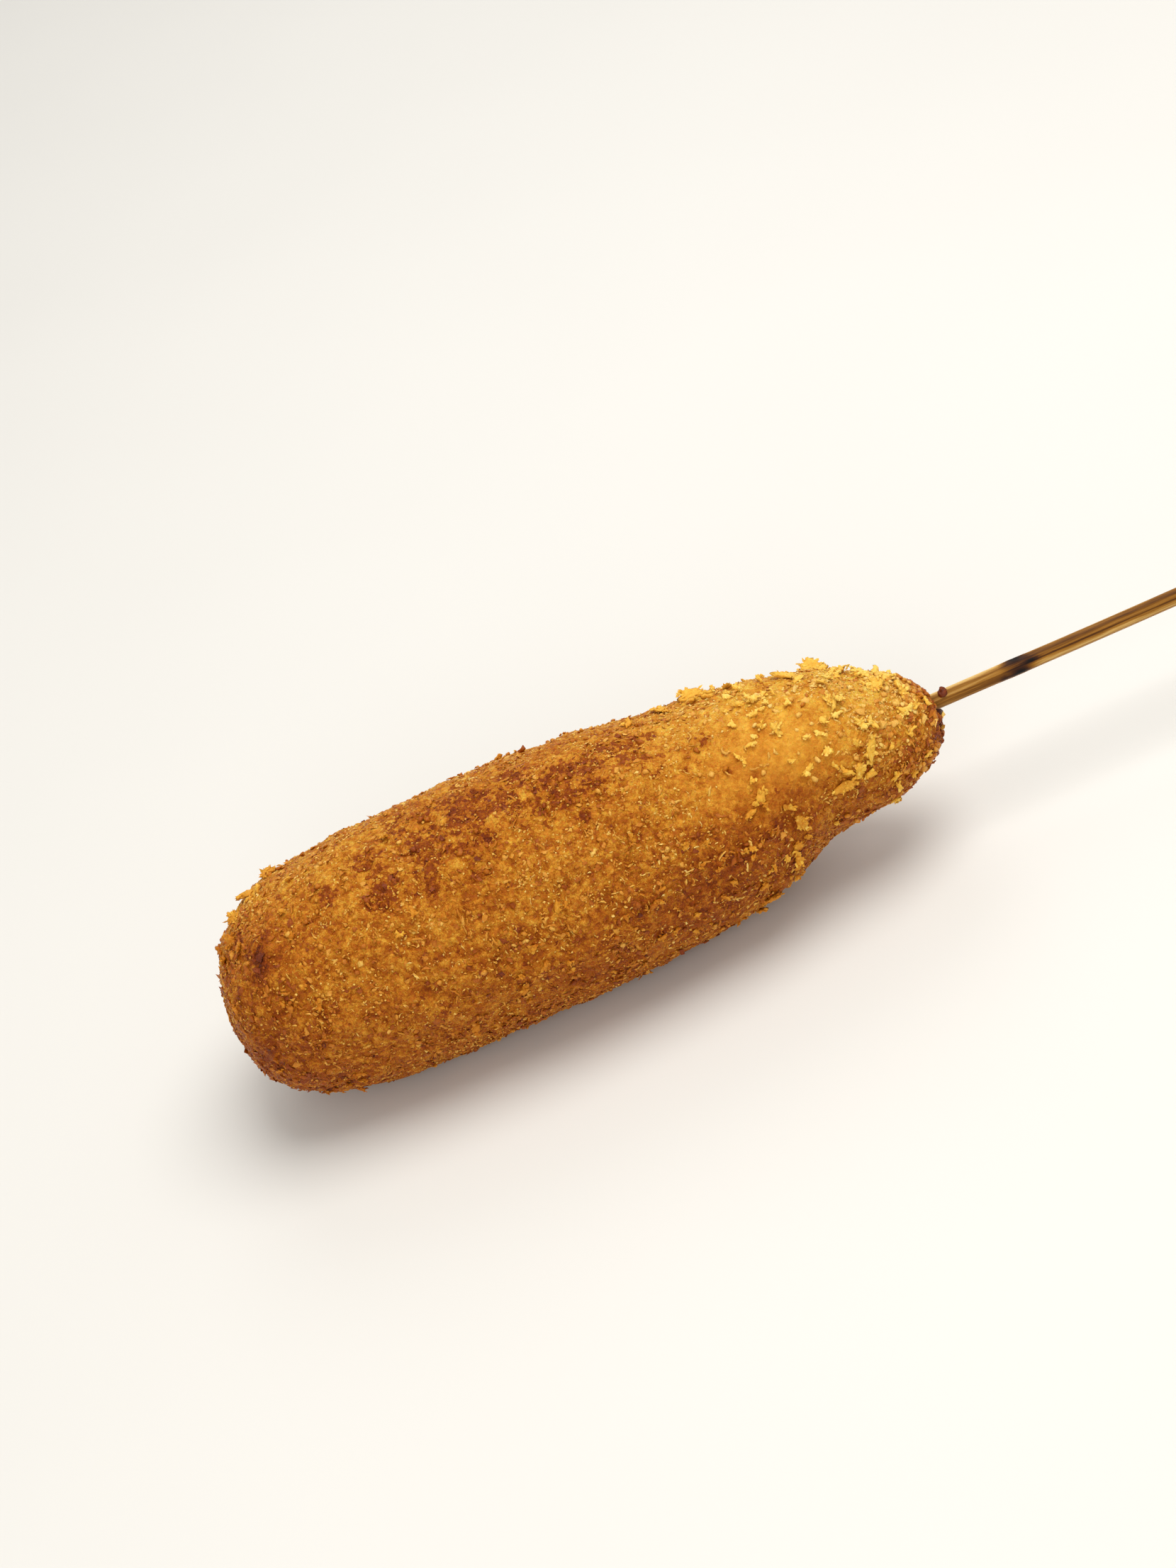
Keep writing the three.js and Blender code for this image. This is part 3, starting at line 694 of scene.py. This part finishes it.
def chips(random, length, fullness=1.0):
    """Ragged grains with a raised middle: a rim of six corners, one point above and one below."""
    count = len(length)
    width = length * random.uniform(*CHIP_WIDTH, count)
    thick = length * random.uniform(*CHIP_THICKNESS, count) * fullness
    skew = random.uniform(-0.3, 0.3, (count, CHIP_RIM))
    turn = 2 * np.pi * (np.arange(CHIP_RIM) + skew) / CHIP_RIM
    reach = random.uniform(0.5, 1.25, (count, CHIP_RIM))
    warp = random.uniform(-0.4, 0.4, (count, CHIP_RIM))
    lean = random.uniform(-0.15, 0.15, (count, 2))
    local = np.zeros((count, CHIP_RIM + 2, 3))
    local[:, :CHIP_RIM, 0] = 0.5 * length[:, None] * reach * np.cos(turn)
    local[:, :CHIP_RIM, 1] = 0.5 * width[:, None] * reach * np.sin(turn)
    local[:, :CHIP_RIM, 2] = thick[:, None] * warp
    local[:, CHIP_RIM, :2] = length[:, None] * lean
    local[:, CHIP_RIM, 2] = 0.5 * thick
    local[:, CHIP_RIM + 1, 2] = -0.5 * thick
    return local


COARSE_ENDS = ((0.3, 2, 0, 13, ALL_ROUND), (0.3, 127, 0, 10, ALL_ROUND))


def crumb_mesh(name, seed, material, lone=()):
    """Crumbs sunk partly into the crust, and after them any lone ones that stand out."""
    random = np.random.default_rng(seed)
    station, angle = scatter(random, CRUMBS)
    coarser = zones(station, angle, COARSE_ENDS)
    length = crumb_lengths(random, CRUMBS, spread=0.42, most=1.8) * (1 + coarser)
    tone = crumb_toast(random, station, angle, 0.03, 0.08)
    raised = 0.24 * random.random(CRUMBS) ** 2 - 0.16
    crumbs = [np.stack([station, angle, length, tone, raised, 0.8 + coarser], 1)]
    crumbs += [np.array([(*crumb, LONE_FULLNESS)]) for crumb in lone]
    station, angle, length, tone, raised, fullness = np.concatenate(crumbs).T
    local = chips(random, length, fullness)
    turn = random.uniform(0, 2 * np.pi, len(local))
    tilt = random.uniform(0, 0.6, len(local))
    placed = lay(local, station, angle, turn, tilt, raised)
    tones = tone[:, None] + CHIP_TONES
    return scattered(name, local, placed, CHIP_FACES, tones, material, rounded=False)


KNOB_RINGS, KNOB_SIDES = 3, 7
KNOB_SIZE, KNOB_LUMPS = (0.35, 0.8), (0.6, 1.25)
KNOB_STRETCH = ((0.9, 1.4), (0.7, 1), (0.45, 0.8))
KNOBS_BY_SKEWER, ELSEWHERE_SIZE = 0.28, 0.8  # shares of the knobs and of their size


def knob_mesh(name, seed, material):
    """Coarse rounded crumbs, crowded where the skewer enters."""
    random = np.random.default_rng(seed)
    by_skewer = random.random(KNOBS) < KNOBS_BY_SKEWER
    near = 0.6 + 9 * random.random(KNOBS) ** 1.3
    station = np.where(by_skewer, near, area_stations(random, KNOBS))
    angle = random.uniform(-180, 180, KNOBS)
    size = random.uniform(*KNOB_SIZE, KNOBS) * np.where(by_skewer, 1, ELSEWHERE_SIZE)
    ball = ball_points(np.pi * np.arange(1, KNOB_RINGS + 1) / (KNOB_RINGS + 1), KNOB_SIDES)
    ball = np.concatenate([ball, [(0, 0, 1), (0, 0, -1)]])
    stretch = np.stack([random.uniform(*limits, KNOBS) for limits in KNOB_STRETCH], 1)
    lumpy = random.uniform(*KNOB_LUMPS, (KNOBS, len(ball), 1))
    local = ball * lumpy * stretch[:, None] * size[:, None, None]
    tone = crumb_toast(random, station, angle, 0.06 * by_skewer, 0.07)
    tones = np.clip(tone[:, None] - 0.08 * ball[:, 2], 0.05, 1)
    placed = lay_at_random(random, local, station, angle, *KNOB_SEAT)
    return scattered(name, local, placed, closed_tube(KNOB_RINGS, KNOB_SIDES), tones, material)


SPOKES, FLAKE_RINGS = 26, 4
# Shares of the medium flakes on the crown, at the tip and on the flank; the rest lie anywhere.
ON_CROWN, AT_TIP, ON_FLANK = 0.45, 0.11, 0.14
FLAKE_LENGTH, FLAKE_WIDTH, FLAKE_TILT = (1.2, 2.9), (0.3, 0.75), 34
FLAKE_LOBES = 2.2  # how quickly the torn outline changes
FLAKE_CURL, FLAKE_THICKNESS = (-0.35, 0.12), (0.35, 0.65)
FLAKE_NOISE = ((0.3, 0.9, 0), (0.24, 0.5, 30))  # height, size, offset


def flake_places(random):
    """Station, angle, length, width, turn and tilt of every flake, the large ones first."""
    count = MEDIUM_FLAKES
    where = random.random(count)
    crown, flank = where < ON_CROWN, where > 1 - ON_FLANK
    size = np.select([crown, flank], [1.1, 0.75], 1)
    length = random.uniform(*FLAKE_LENGTH, count) * size
    on_crown = 4 + 34 * random.random(count)
    at_tip = BODY_LENGTH - 19 * random.random(count) ** 0.7
    on_flank = np.clip(random.normal(48, 15, count), 10, 100)
    station = np.select([crown, where < ON_CROWN + AT_TIP, flank], [on_crown, at_tip, on_flank],
                        area_stations(random, count))
    facings = [random.normal(80, 60, count), random.normal(-10, 24, count)]
    angle = np.select([crown, flank], facings, random.uniform(-180, 180, count))
    width = length * random.uniform(*FLAKE_WIDTH, count)
    turn, tilt = random.uniform(0, 360, count), random.uniform(0, FLAKE_TILT, count)
    medium = np.stack([station, angle, length, width, turn, tilt], 1)
    return np.concatenate([np.array(LARGE_FLAKES, float), medium])


def flake_faces():
    """Triangles of a flake's two sheets; each has its own middle, and they share the outer ring."""
    upper = np.concatenate([fan(0, 1, SPOKES), 1 + tube(FLAKE_RINGS, SPOKES)])
    outer = 1 + (FLAKE_RINGS - 1) * SPOKES
    lower = np.where(upper < outer, upper + outer + SPOKES, upper)
    return np.concatenate([upper, lower[:, ::-1]])


def flake_sheets(random, length, width):
    """Points of every flake's two sheets, and how high and how far out each upper point is."""
    count = len(length)
    spokes = np.arange(SPOKES) * 2 * np.pi / SPOKES
    rings = np.linspace(0, 1, FLAKE_RINGS + 1)[1:]
    seat = random.uniform(0, 500, (count, 1))
    lobes = FLAKE_LOBES * np.stack([np.cos(spokes), np.sin(spokes), 0 * spokes], -1)
    torn = 0.84 + 0.42 * noise((seat[:, None] + lobes).reshape(-1, 3)).reshape(count, -1)
    torn += random.uniform(-0.14, 0.1, (count, SPOKES))
    reach = (1 + (torn[:, None] - 1) * rings[:, None] ** 1.5) * rings[:, None]
    middle = np.zeros((count, 1))
    x = 0.5 * np.concatenate([middle, (reach * np.cos(spokes)).reshape(count, -1)], 1)
    y = 0.5 * np.concatenate([middle, (reach * np.sin(spokes)).reshape(count, -1)], 1)
    y += random.uniform(-0.9, 0.9, (count, 1)) * x**2
    curl = random.uniform(*FLAKE_CURL, (count, 1)) * length[:, None] * x**2
    x, y = x * length[:, None], y * width[:, None]
    spot = np.stack([x + seat, y + seat, 0 * x + seat], -1).reshape(-1, 3)
    rough = layered(spot, FLAKE_NOISE).reshape(count, -1)
    out = np.concatenate([[0], np.repeat(rings, SPOKES)])
    half = 0.5 * random.uniform(*FLAKE_THICKNESS, (count, 1)) * np.sqrt(np.clip(1 - out**3, 0, 1))
    top = np.stack([x, y, curl + rough + half], -1)
    under = np.stack([x, y, curl + rough - half], -1)[:, :-SPOKES]
    return np.concatenate([top, under], 1), rough, out


def flake_grains(random, length, width):
    """Grains that lie on the flakes, and the number of the flake under each."""
    counts = np.clip(2.4 * length * width, 4, 40).astype(int)
    flake = np.repeat(np.arange(len(length)), counts)
    total = len(flake)
    around = random.uniform(0, 2 * np.pi, total)
    out = np.sqrt(random.random(total)) * 0.46
    grains = chips(random, random.uniform(0.6, 1.3, total))
    upright = np.tile((0.0, 0.0, 1.0), (total, 1))
    spin = axes_on(upright, around, random.uniform(0, 0.7, total))
    grains = np.einsum("nvi,nij->nvj", grains, spin)
    grains[:, :, 0] += (out * np.cos(around) * length[flake])[:, None]
    grains[:, :, 1] += (out * np.sin(around) * width[flake])[:, None]
    return grains, flake


def flake_meshes(seed, material):
    """Panko flakes: torn, curled scraps of bread with grains stuck to them."""
    random = np.random.default_rng(seed)
    station, angle, length, width, turn, tilt = flake_places(random).T
    turn, tilt = np.radians(turn), np.radians(tilt)
    raised = 0.2 + 0.2 * length * np.sin(tilt)
    local, rough, out = flake_sheets(random, length, width)
    # Flakes near the stick end are made paler: partly their own pale colour, partly painted light that
    # they catch.
    paler_and_lit = 0.14 + 0.14 * hump(station, 45)
    brownest_lit = 0.4 - 0.27 * hump(station, 34)
    own = np.clip(toast_at(station, angle) - paler_and_lit, 0.04, brownest_lit)
    own += random.normal(0, 0.03, len(station))
    tones = own[:, None] - 0.12 * rough + 0.08 * out**4
    tones = np.concatenate([tones, tones[:, :-SPOKES]], 1)
    placed = lay(local, station, angle, turn, tilt, raised)
    sheets = scattered("flakes", local, placed, flake_faces(), tones, material)

    local, flake = flake_grains(random, length, width)
    tones = (own[flake] + random.normal(-0.03, 0.05, len(flake)))[:, None]
    lifted = raised[flake] + random.uniform(-0.1, 0.25, len(flake))
    placed = lay(local, station[flake], angle[flake], turn[flake], tilt[flake], lifted)
    grains = scattered("flake_grains", local, placed, CHIP_FACES, tones, material, rounded=False)
    return sheets, grains


FIBRE_RINGS, FIBRE_SIDES = 8, 4
FIBRE_LENGTH, FIBRE_RADIUS, FIBRE_LUMPS = (0.9, 2.6), (0.1, 0.2), (0.7, 1.3)
FIBRE_BOW, FIBRE_CURL, FIBRE_BEND = (-0.45, 0.45), (-0.4, 0.1), 0.6


def fibre_mesh(name, seed, material):
    """Thin curled crumbs, like short bent hairs, that lie on the crust or stand off its edge."""
    random = np.random.default_rng(seed)
    station = area_stations(random, FIBRES)
    angle = random.uniform(-180, 180, FIBRES)
    length = random.uniform(*FIBRE_LENGTH, FIBRES)[:, None]
    u = np.linspace(-1, 1, FIBRE_RINGS)
    bow = random.uniform(*FIBRE_BOW, (FIBRES, 1)) * length
    curl = random.uniform(*FIBRE_CURL, (FIBRES, 1)) * length
    kink = random.normal(0, 0.05, (FIBRES, FIBRE_RINGS))
    x = 0.5 * length * u
    y = bow * u**2 * FIBRE_BEND + kink
    z = curl * u**2 * FIBRE_BEND + kink[:, ::-1]
    radius = random.uniform(*FIBRE_RADIUS, (FIBRES, 1)) * np.sqrt(1.02 - u**2)
    radius = radius * random.uniform(*FIBRE_LUMPS, x.shape)
    turn = np.arange(FIBRE_SIDES) * 2 * np.pi / FIBRE_SIDES
    ring = np.stack([0 * turn, 1.3 * np.cos(turn), np.sin(turn)], 1)
    local = np.stack([x, y, z], -1)[:, :, None] + radius[:, :, None, None] * ring
    local = local.reshape(FIBRES, -1, 3)
    placed = lay_at_random(random, local, station, angle, *FIBRE_SEAT)
    last = (FIBRE_RINGS - 1) * FIBRE_SIDES
    ends = [(0, 1, 2), (0, 2, 3), (last, last + 2, last + 1), (last, last + 3, last + 2)]
    triangles = np.concatenate([tube(FIBRE_RINGS, FIBRE_SIDES), ends])[:, ::-1]
    tone = toast_at(station, angle) + random.normal(-0.13, 0.05, FIBRES)
    return scattered(name, local, placed, triangles, tone[:, None], material)


# The skewer

SKEWER_SIDES = 64
SKEWER_STEP = 0.6
STICK_MAP, CAP_STRIP = 0.99, 0.004  # shares of the map's length
INNER_BROWNING, OUTER_BROWNING = 0.4, 0.46
# Streaks along the stick, up to the knot and beyond it: angle, half width, browning.
INNER_STREAKS = ((98, 16, -0.36), (64, 6, 0.1), (45, 6, -0.04), (25, 8, 0.14), (2, 16, 0.13))
OUTER_STREAKS = (
    (100, 9, -0.1),
    (66, 13, 0.2),
    (45, 7, 0.02),
    (26, 6, 0.24),
    (-4, 11, -0.22),
    (-35, 22, -0.14),
)
STREAK_CHANGE, STREAK_BLEND = 13.5, 2  # distance from the crust where the streaks change
# Scorch marks: browning, distance from the crust, angle, half length, half width.
STICK_MARKS = (
    (0.8, 15.2, -10, 2.0, 24),
    (0.3, 12.4, -20, 0.9, 26),
    (0.45, 15.0, 92, 1.5, 18),
    (0.45, 17.6, 38, 1.3, 18),
    (0.22, 15.2, 45, 2.2, 50),
    (0.45, 16.2, 200, 2.0, 60),
)


def skewer_radius(distance, angle):
    """The stick's radius, with its grooves, fibres, wave and knot."""
    radius = SKEWER_RADIUS * (1 + SKEWER_SQUARENESS * np.cos(np.radians(4 * angle)))
    for facing, depth, spread in GROOVES:
        radius -= depth * hump(angle_between(angle, facing), spread / 2)
    radius += SKEWER_WAVE * np.sin(distance / 9 + angle / 60)
    around = np.stack([distance * 0.05, angle / 9, np.zeros_like(angle)], 1)
    radius += 0.035 * noise(around) + 0.02 * noise(around * (1.7, 2.3, 1) + 50)
    spot = np.stack([distance, angle / 40, np.zeros_like(angle)], 1)
    knot = KNOT_SWELL * hump(distance - KNOT_DISTANCE, KNOT_LENGTH / 2)
    radius += knot * (1 + 0.5 * noise(spot) + 0.35 * noise(spot * (2.6, 3.1, 1) + 70))
    return radius


def streaked(angle, browning, streaks):
    return browning + sum(change * hump(angle_between(angle, at), half) for at, half, change in streaks)


def stick_toast(distance, angle):
    """Bamboo browned by the oil in streaks along its grain, and scorched at the knot."""
    outer = streaked(angle, OUTER_BROWNING, OUTER_STREAKS)
    inner = streaked(angle, INNER_BROWNING, INNER_STREAKS)
    tone = outer + (inner - outer) * smooth((STREAK_CHANGE - distance) / STREAK_BLEND)
    return tone + zones(distance, angle, STICK_MARKS)


def skewer_mesh(name, material):
    """The stick, with grooves and fibres along its grain and the swollen ring of its knot."""
    free = SKEWER_LENGTH - SKEWER_INSIDE
    distances = np.arange(free, -SKEWER_INSIDE - SKEWER_STEP / 2, -SKEWER_STEP)
    count = len(distances)
    distance = np.repeat(distances, SKEWER_SIDES)
    angle = np.tile(np.arange(SKEWER_SIDES) * 360 / SKEWER_SIDES, count)
    radius = np.append(skewer_radius(distance, angle), [0, 0])
    distance, angle = np.append(distance, distances[[0, -1]]), np.append(angle, [0, 0])
    centre = np.stack([GIRTH_STATION + distance, 0 * distance, 0 * distance + SKEWER_HEIGHT], 1)
    points = centre + outward(angle) * radius[:, None]
    faces = closed_tube(count, SKEWER_SIDES)[:, ::-1]
    run = (distance[faces] + SKEWER_INSIDE) / SKEWER_LENGTH
    along = MAP_MARGIN + STICK_MAP * run + CAP_STRIP * (radius[faces] == 0)
    uv = np.stack([along, MAP_TURN * turns(angle, faces)], 2)
    return new_mesh(name, points, faces, stick_toast(distance, angle), uv, material)


BIT_ROWS, BIT_COLUMNS = 12, 18


def burnt_bit_mesh(name, material):
    """A burnt crumb that sticks to the top of the stick."""
    from_crust, facing, size = BURNT_BLOB
    ball = ball_points(np.linspace(0, np.pi, BIT_ROWS), BIT_COLUMNS)
    ball *= size * (1.0 + 0.34 * noise(ball * 1.4 + 3) + 0.36 * noise(ball * 2.9 + 9))[:, None]
    centre = np.array([GIRTH_STATION + from_crust, 0, SKEWER_HEIGHT])
    centre += outward(np.array([facing]))[0] * SKEWER_RADIUS
    a = np.arange((BIT_ROWS - 1) * BIT_COLUMNS)
    b = a - a % BIT_COLUMNS + (a + 1) % BIT_COLUMNS
    quads = np.stack([a, a + BIT_COLUMNS, b + BIT_COLUMNS, b], 1)
    square = np.stack([a % BIT_COLUMNS, a // BIT_COLUMNS], 1)[:, None] + [(0, 0), (0, 1), (1, 1), (1, 0)]
    uv = square / (BIT_COLUMNS, BIT_ROWS) * 0.98 + 0.01
    tone = 0.8 + 0.1 * noise(ball * 3 + 5)
    return new_mesh(name, ball + centre, quads, tone, uv, material)


# ---- Materials ----

# Colours of the crust from barely fried to burnt.
TOAST_COLOURS = (
    (0.0, "f5cf66"),
    (0.14, "e9b442"),
    (0.3, "d48f28"),
    (0.4, "c07518"),
    (0.5, "a95a08"),
    (0.6, "924404"),
    (0.7, "803505"),
    (0.85, "5c2005"),
    (1.0, "361004"),
)
# Pale crumbs are creamier than the crust under them: partly their own colour, partly a painted sheen of
# the light on them.
CRUMB_AND_SHEEN_COLOURS = ((0.0, "f5d37e"), (0.14, "e9b958"), (0.3, "d49233")) + TOAST_COLOURS[3:]
BAMBOO_COLOURS = (
    (0.0, "e2c280"),
    (0.2, "bf9653"),
    (0.38, "986824"),
    (0.55, "72460f"),
    (0.75, "3f200b"),
    (1.0, "120a08"),
)
FLOOR_COLOURS = ((0.3, "dfdedb"), (0.7, "e3e2df"))

# The scale of a pattern is in features to a metre.
BEND = 0.0009  # metres that the grains' outlines are bent by
BARE_CALM = 0.7  # how much of its pattern the bare patch loses
STRAND_THINNESS = 14.0
LIGHT_REACH = (1, 0.4, 0.12)  # red, green and blue light inside the crust



def linear(hex_colour):
    """An sRGB colour as the linear numbers that Blender takes."""
    parts = [int(hex_colour[n:n + 2], 16) / 255 for n in (0, 2, 4)]
    return [c / 12.92 if c <= 0.04045 else ((c + 0.055) / 1.055) ** 2.4 for c in parts] + [1.0]


class Nodes:
    """Short names for building a material's node tree."""

    def __init__(self, name):
        self.material = bpy.data.materials.new(name)
        self.material.use_nodes = True
        self.tree = self.material.node_tree
        self.shader = self.tree.nodes["Principled BSDF"]
        self.where = self.add("ShaderNodeTexCoord").outputs["Object"]

    def add(self, kind, settings=None, **inputs):
        node = self.tree.nodes.new(kind)
        for key, value in (settings or {}).items():
            setattr(node, key, value)
        for key, value in inputs.items():
            self.set(node, key.replace("_", " "), value)
        return node

    def set(self, node, socket, value):
        target = node.inputs[int(socket)] if socket.isdigit() else node.inputs[socket]
        if isinstance(value, bpy.types.NodeSocket):
            self.tree.links.new(value, target)
        else:
            target.default_value = value

    def shade(self, **inputs):
        for key, value in inputs.items():
            self.set(self.shader, key.replace("_", " "), value)

    def attribute(self, label):
        return self.add("ShaderNodeAttribute", {"attribute_name": label}).outputs["Fac"]

    def maths(self, operation, a, b, clamp=False):
        node = self.add("ShaderNodeMath", {"operation": operation, "use_clamp": clamp})
        self.set(node, "0", a)
        self.set(node, "1", b)
        return node.outputs[0]

    def plus(self, base, value, times, clamp=False):
        """The base and so many times the value."""
        return self.maths("ADD", base, self.maths("MULTIPLY", value, times), clamp)

    def noise(self, vector, scale, detail=3.0, rough=0.6):
        return self.add("ShaderNodeTexNoise", Vector=vector, Scale=scale, Detail=detail,
                        Roughness=rough).outputs["Fac"]

    def bump(self, height, strength, distance):
        """The shading of a relief, whose distance is in metres."""
        node = self.add("ShaderNodeBump", Height=height, Strength=strength, Distance=distance)
        return node.outputs[0]

    def ramp(self, value, stops):
        node = self.add("ShaderNodeValToRGB", Fac=value)
        elements = node.color_ramp.elements
        while len(elements) < len(stops):
            elements.new(0.5)
        for element, (place, colour) in zip(elements, stops):
            element.position = place
            element.color = linear(colour)
        return node.outputs["Color"]


def crust_material(name, speckle, specular, glow, reach, roughness=0.5, grain=0, colours=TOAST_COLOURS):
    """Fried crumb: each grain has its own browning, and all are a little translucent."""
    n = Nodes(name)
    fine = n.maths("SUBTRACT", n.noise(n.where, scale=2400.0, detail=4.0, rough=0.7), 0.5)
    vivid = n.maths("SUBTRACT", 1.0, n.maths("MULTIPLY", n.attribute("bare"), BARE_CALM))
    browned = n.plus(n.attribute("toast"), n.maths("MULTIPLY", fine, speckle), vivid)
    fine_relief = n.noise(n.where, scale=2600.0, detail=4.0)
    height = n.maths("ADD", fine_relief, n.noise(n.where, scale=1100.0))
    if grain:
        bend = n.add("ShaderNodeTexNoise", Vector=n.where, Scale=1300.0, Detail=3.0).outputs["Color"]
        bend = n.add("ShaderNodeVectorMath", {"operation": "SCALE"}, Vector=bend, Scale=BEND).outputs[0]
        both = {"0": n.where, "1": bend}
        bent = n.add("ShaderNodeVectorMath", {"operation": "ADD"}, **both).outputs[0]
        grains = n.add("ShaderNodeTexVoronoi", Vector=bent, Scale=1250.0)
        parts = n.add("ShaderNodeSeparateColor", Color=grains.outputs["Color"])
        own = n.maths("SUBTRACT", parts.outputs["Red"], 0.5)
        browned = n.plus(browned, n.maths("MULTIPLY", own, grain), vivid)
        near = n.plus(n.attribute("scorch"), n.maths("ADD", fine, own), times=0.5)
        dark = n.maths("MULTIPLY", n.maths("SUBTRACT", near, 0.44), 8.0, clamp=True)
        browned = n.plus(browned, dark, SCORCH_BROWNING)
        height = n.plus(height, grains.outputs["Distance"], times=-1.2)
        for scale in (430.0, 760.0):
            edge = n.maths("SUBTRACT", n.noise(bent, scale), 0.5)
            strand = n.plus(1.0, n.maths("ABSOLUTE", edge, 0.0), -STRAND_THINNESS, clamp=True)
            strand = n.maths("MULTIPLY", strand, vivid)
            browned = n.plus(browned, strand, times=-0.1)
            height = n.plus(height, strand, times=0.9)
    gloss = n.noise(n.where, scale=500.0)
    n.shade(
        Base_Color=n.ramp(browned, colours),
        Roughness=n.plus(roughness - 0.17, gloss, times=0.35),
        Normal=n.bump(height, strength=0.8, distance=0.00024),
        Specular_IOR_Level=specular,
        Subsurface_Weight=glow,
        Subsurface_Radius=[reach * share for share in LIGHT_REACH],
        Subsurface_Scale=MM,
    )
    return n.material


def bamboo_material(name):
    """Oil-darkened bamboo with fibres along X: its browning runs from tan to black scorch."""
    n = Nodes(name)
    stretch = n.add("ShaderNodeMapping", Vector=n.where, Scale=(0.035, 1, 1)).outputs[0]
    fibres = n.noise(stretch, scale=2600.0, detail=4.0, rough=0.7)
    browned = n.plus(n.attribute("toast"), n.maths("SUBTRACT", fibres, 0.5), times=0.8)
    n.shade(
        Base_Color=n.ramp(browned, BAMBOO_COLOURS),
        Roughness=n.plus(0.35, fibres, times=0.3),
        Normal=n.bump(fibres, strength=0.35, distance=0.0002),
        Specular_IOR_Level=0.15,
    )
    return n.material


def floor_material(name):
    n = Nodes(name)
    n.shade(Base_Color=n.ramp(n.noise(n.where, scale=3.0), FLOOR_COLOURS), Roughness=0.85)
    return n.material


# ---- The scene ----


def camera():
    """The camera stands where it sees the lying corn dog just as it was seen, rolled with it."""
    lean, roll = math.radians(SIGHT_ELEVATION), math.radians(SIGHT_ROLL)
    along = Vector((1, 0, 0))
    rise = Vector((0, math.sin(lean), math.cos(lean)))
    back = Vector((0, -math.cos(lean), math.sin(lean)))
    right = along * math.cos(roll) - rise * math.sin(roll)
    up = along * math.sin(roll) + rise * math.cos(roll)
    centred = Matrix((right, up, back)).transposed()
    aim_dir = Vector((AIM_PX[0] - PHOTO_SIZE[0] / 2, PHOTO_SIZE[1] / 2 - AIM_PX[1], -FOCAL_PX))
    off_axis = Vector((0, 0, -1)).rotation_difference(aim_dir).to_matrix()
    turned = centred @ off_axis.transposed()
    aim = Vector((GIRTH_STATION - AIM_STATION, 0, AIM_HEIGHT)) * MM
    data = bpy.data.cameras.new("camera")
    data.sensor_width = SENSOR
    data.lens = SENSOR * FOCAL_PX / max(PHOTO_SIZE)
    data.clip_start = 0.01
    holder = bpy.data.objects.new("camera", data)
    holder.matrix_world = Matrix.Translation(aim + back * SIGHT_DISTANCE * MM) @ turned.to_4x4()
    bpy.context.scene.collection.objects.link(holder)
    bpy.context.scene.camera = holder


def area_light(name, place, aim, size, power, colour):
    data = bpy.data.lights.new(name, "AREA")
    data.shape = "DISK"
    data.size = size
    data.energy = power
    data.color = colour
    lamp = bpy.data.objects.new(name, data)
    lamp.location = place
    lamp.rotation_euler = (Vector(aim) - Vector(place)).to_track_quat("-Z", "Y").to_euler()
    bpy.context.scene.collection.objects.link(lamp)


def studio():
    """A plain pale floor under soft lights."""
    bpy.ops.mesh.primitive_plane_add(size=FLOOR_METRES)
    floor = bpy.context.object
    floor.name = "floor"
    floor.data.materials.append(floor_material("pale_table"))
    for light in LIGHTS:
        area_light(*light)
    world = bpy.data.worlds.new("room")
    world.use_nodes = True
    world.node_tree.nodes["Background"].inputs["Color"].default_value = ROOM_COLOUR
    world.node_tree.nodes["Background"].inputs["Strength"].default_value = ROOM_STRENGTH
    bpy.context.scene.world = world
    bpy.context.scene.view_settings.view_transform = "Standard"


def dress():
    """The food's own pieces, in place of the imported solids."""
    crust_look = crust_material("fried_crust", speckle=0.36, specular=0.14, glow=0.45, reach=1.0,
                                grain=0.15)
    crumb_look = crust_material("fried_crumbs", speckle=0.3, specular=0.22, glow=0.2, reach=0.3,
                                roughness=0.36, colours=CRUMB_AND_SHEEN_COLOURS)
    flake_look = crust_material("panko_flakes", speckle=0.26, specular=0.15, glow=0.12, reach=0.3)
    burnt_look = crust_material("burnt_bit", speckle=0.2, specular=0.3, glow=0.0, reach=0.1)
    crumbs = [
        crust_mesh("crust", 5, crust_look),
        crumb_mesh("crumbs_1", 101, crumb_look, LONE_CRUMBS),
        crumb_mesh("crumbs_2", 102, crumb_look),
        curl_mesh("curls", 103, crumb_look),
        glint_speck_mesh("glint_specks", 104, crumb_look),
        knob_mesh("knobs", 105, crumb_look),
        fibre_mesh("fibres", 106, crumb_look),
        *flake_meshes(107, flake_look),
    ]
    for piece in crumbs:
        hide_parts("crumbed_body")
    stick = skewer_mesh("skewer", bamboo_material("bamboo"))
    bit = burnt_bit_mesh("burnt_bit", burnt_look)
    for piece in (stick, bit):
        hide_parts("bamboo_skewer")


camera()
studio()
dress()
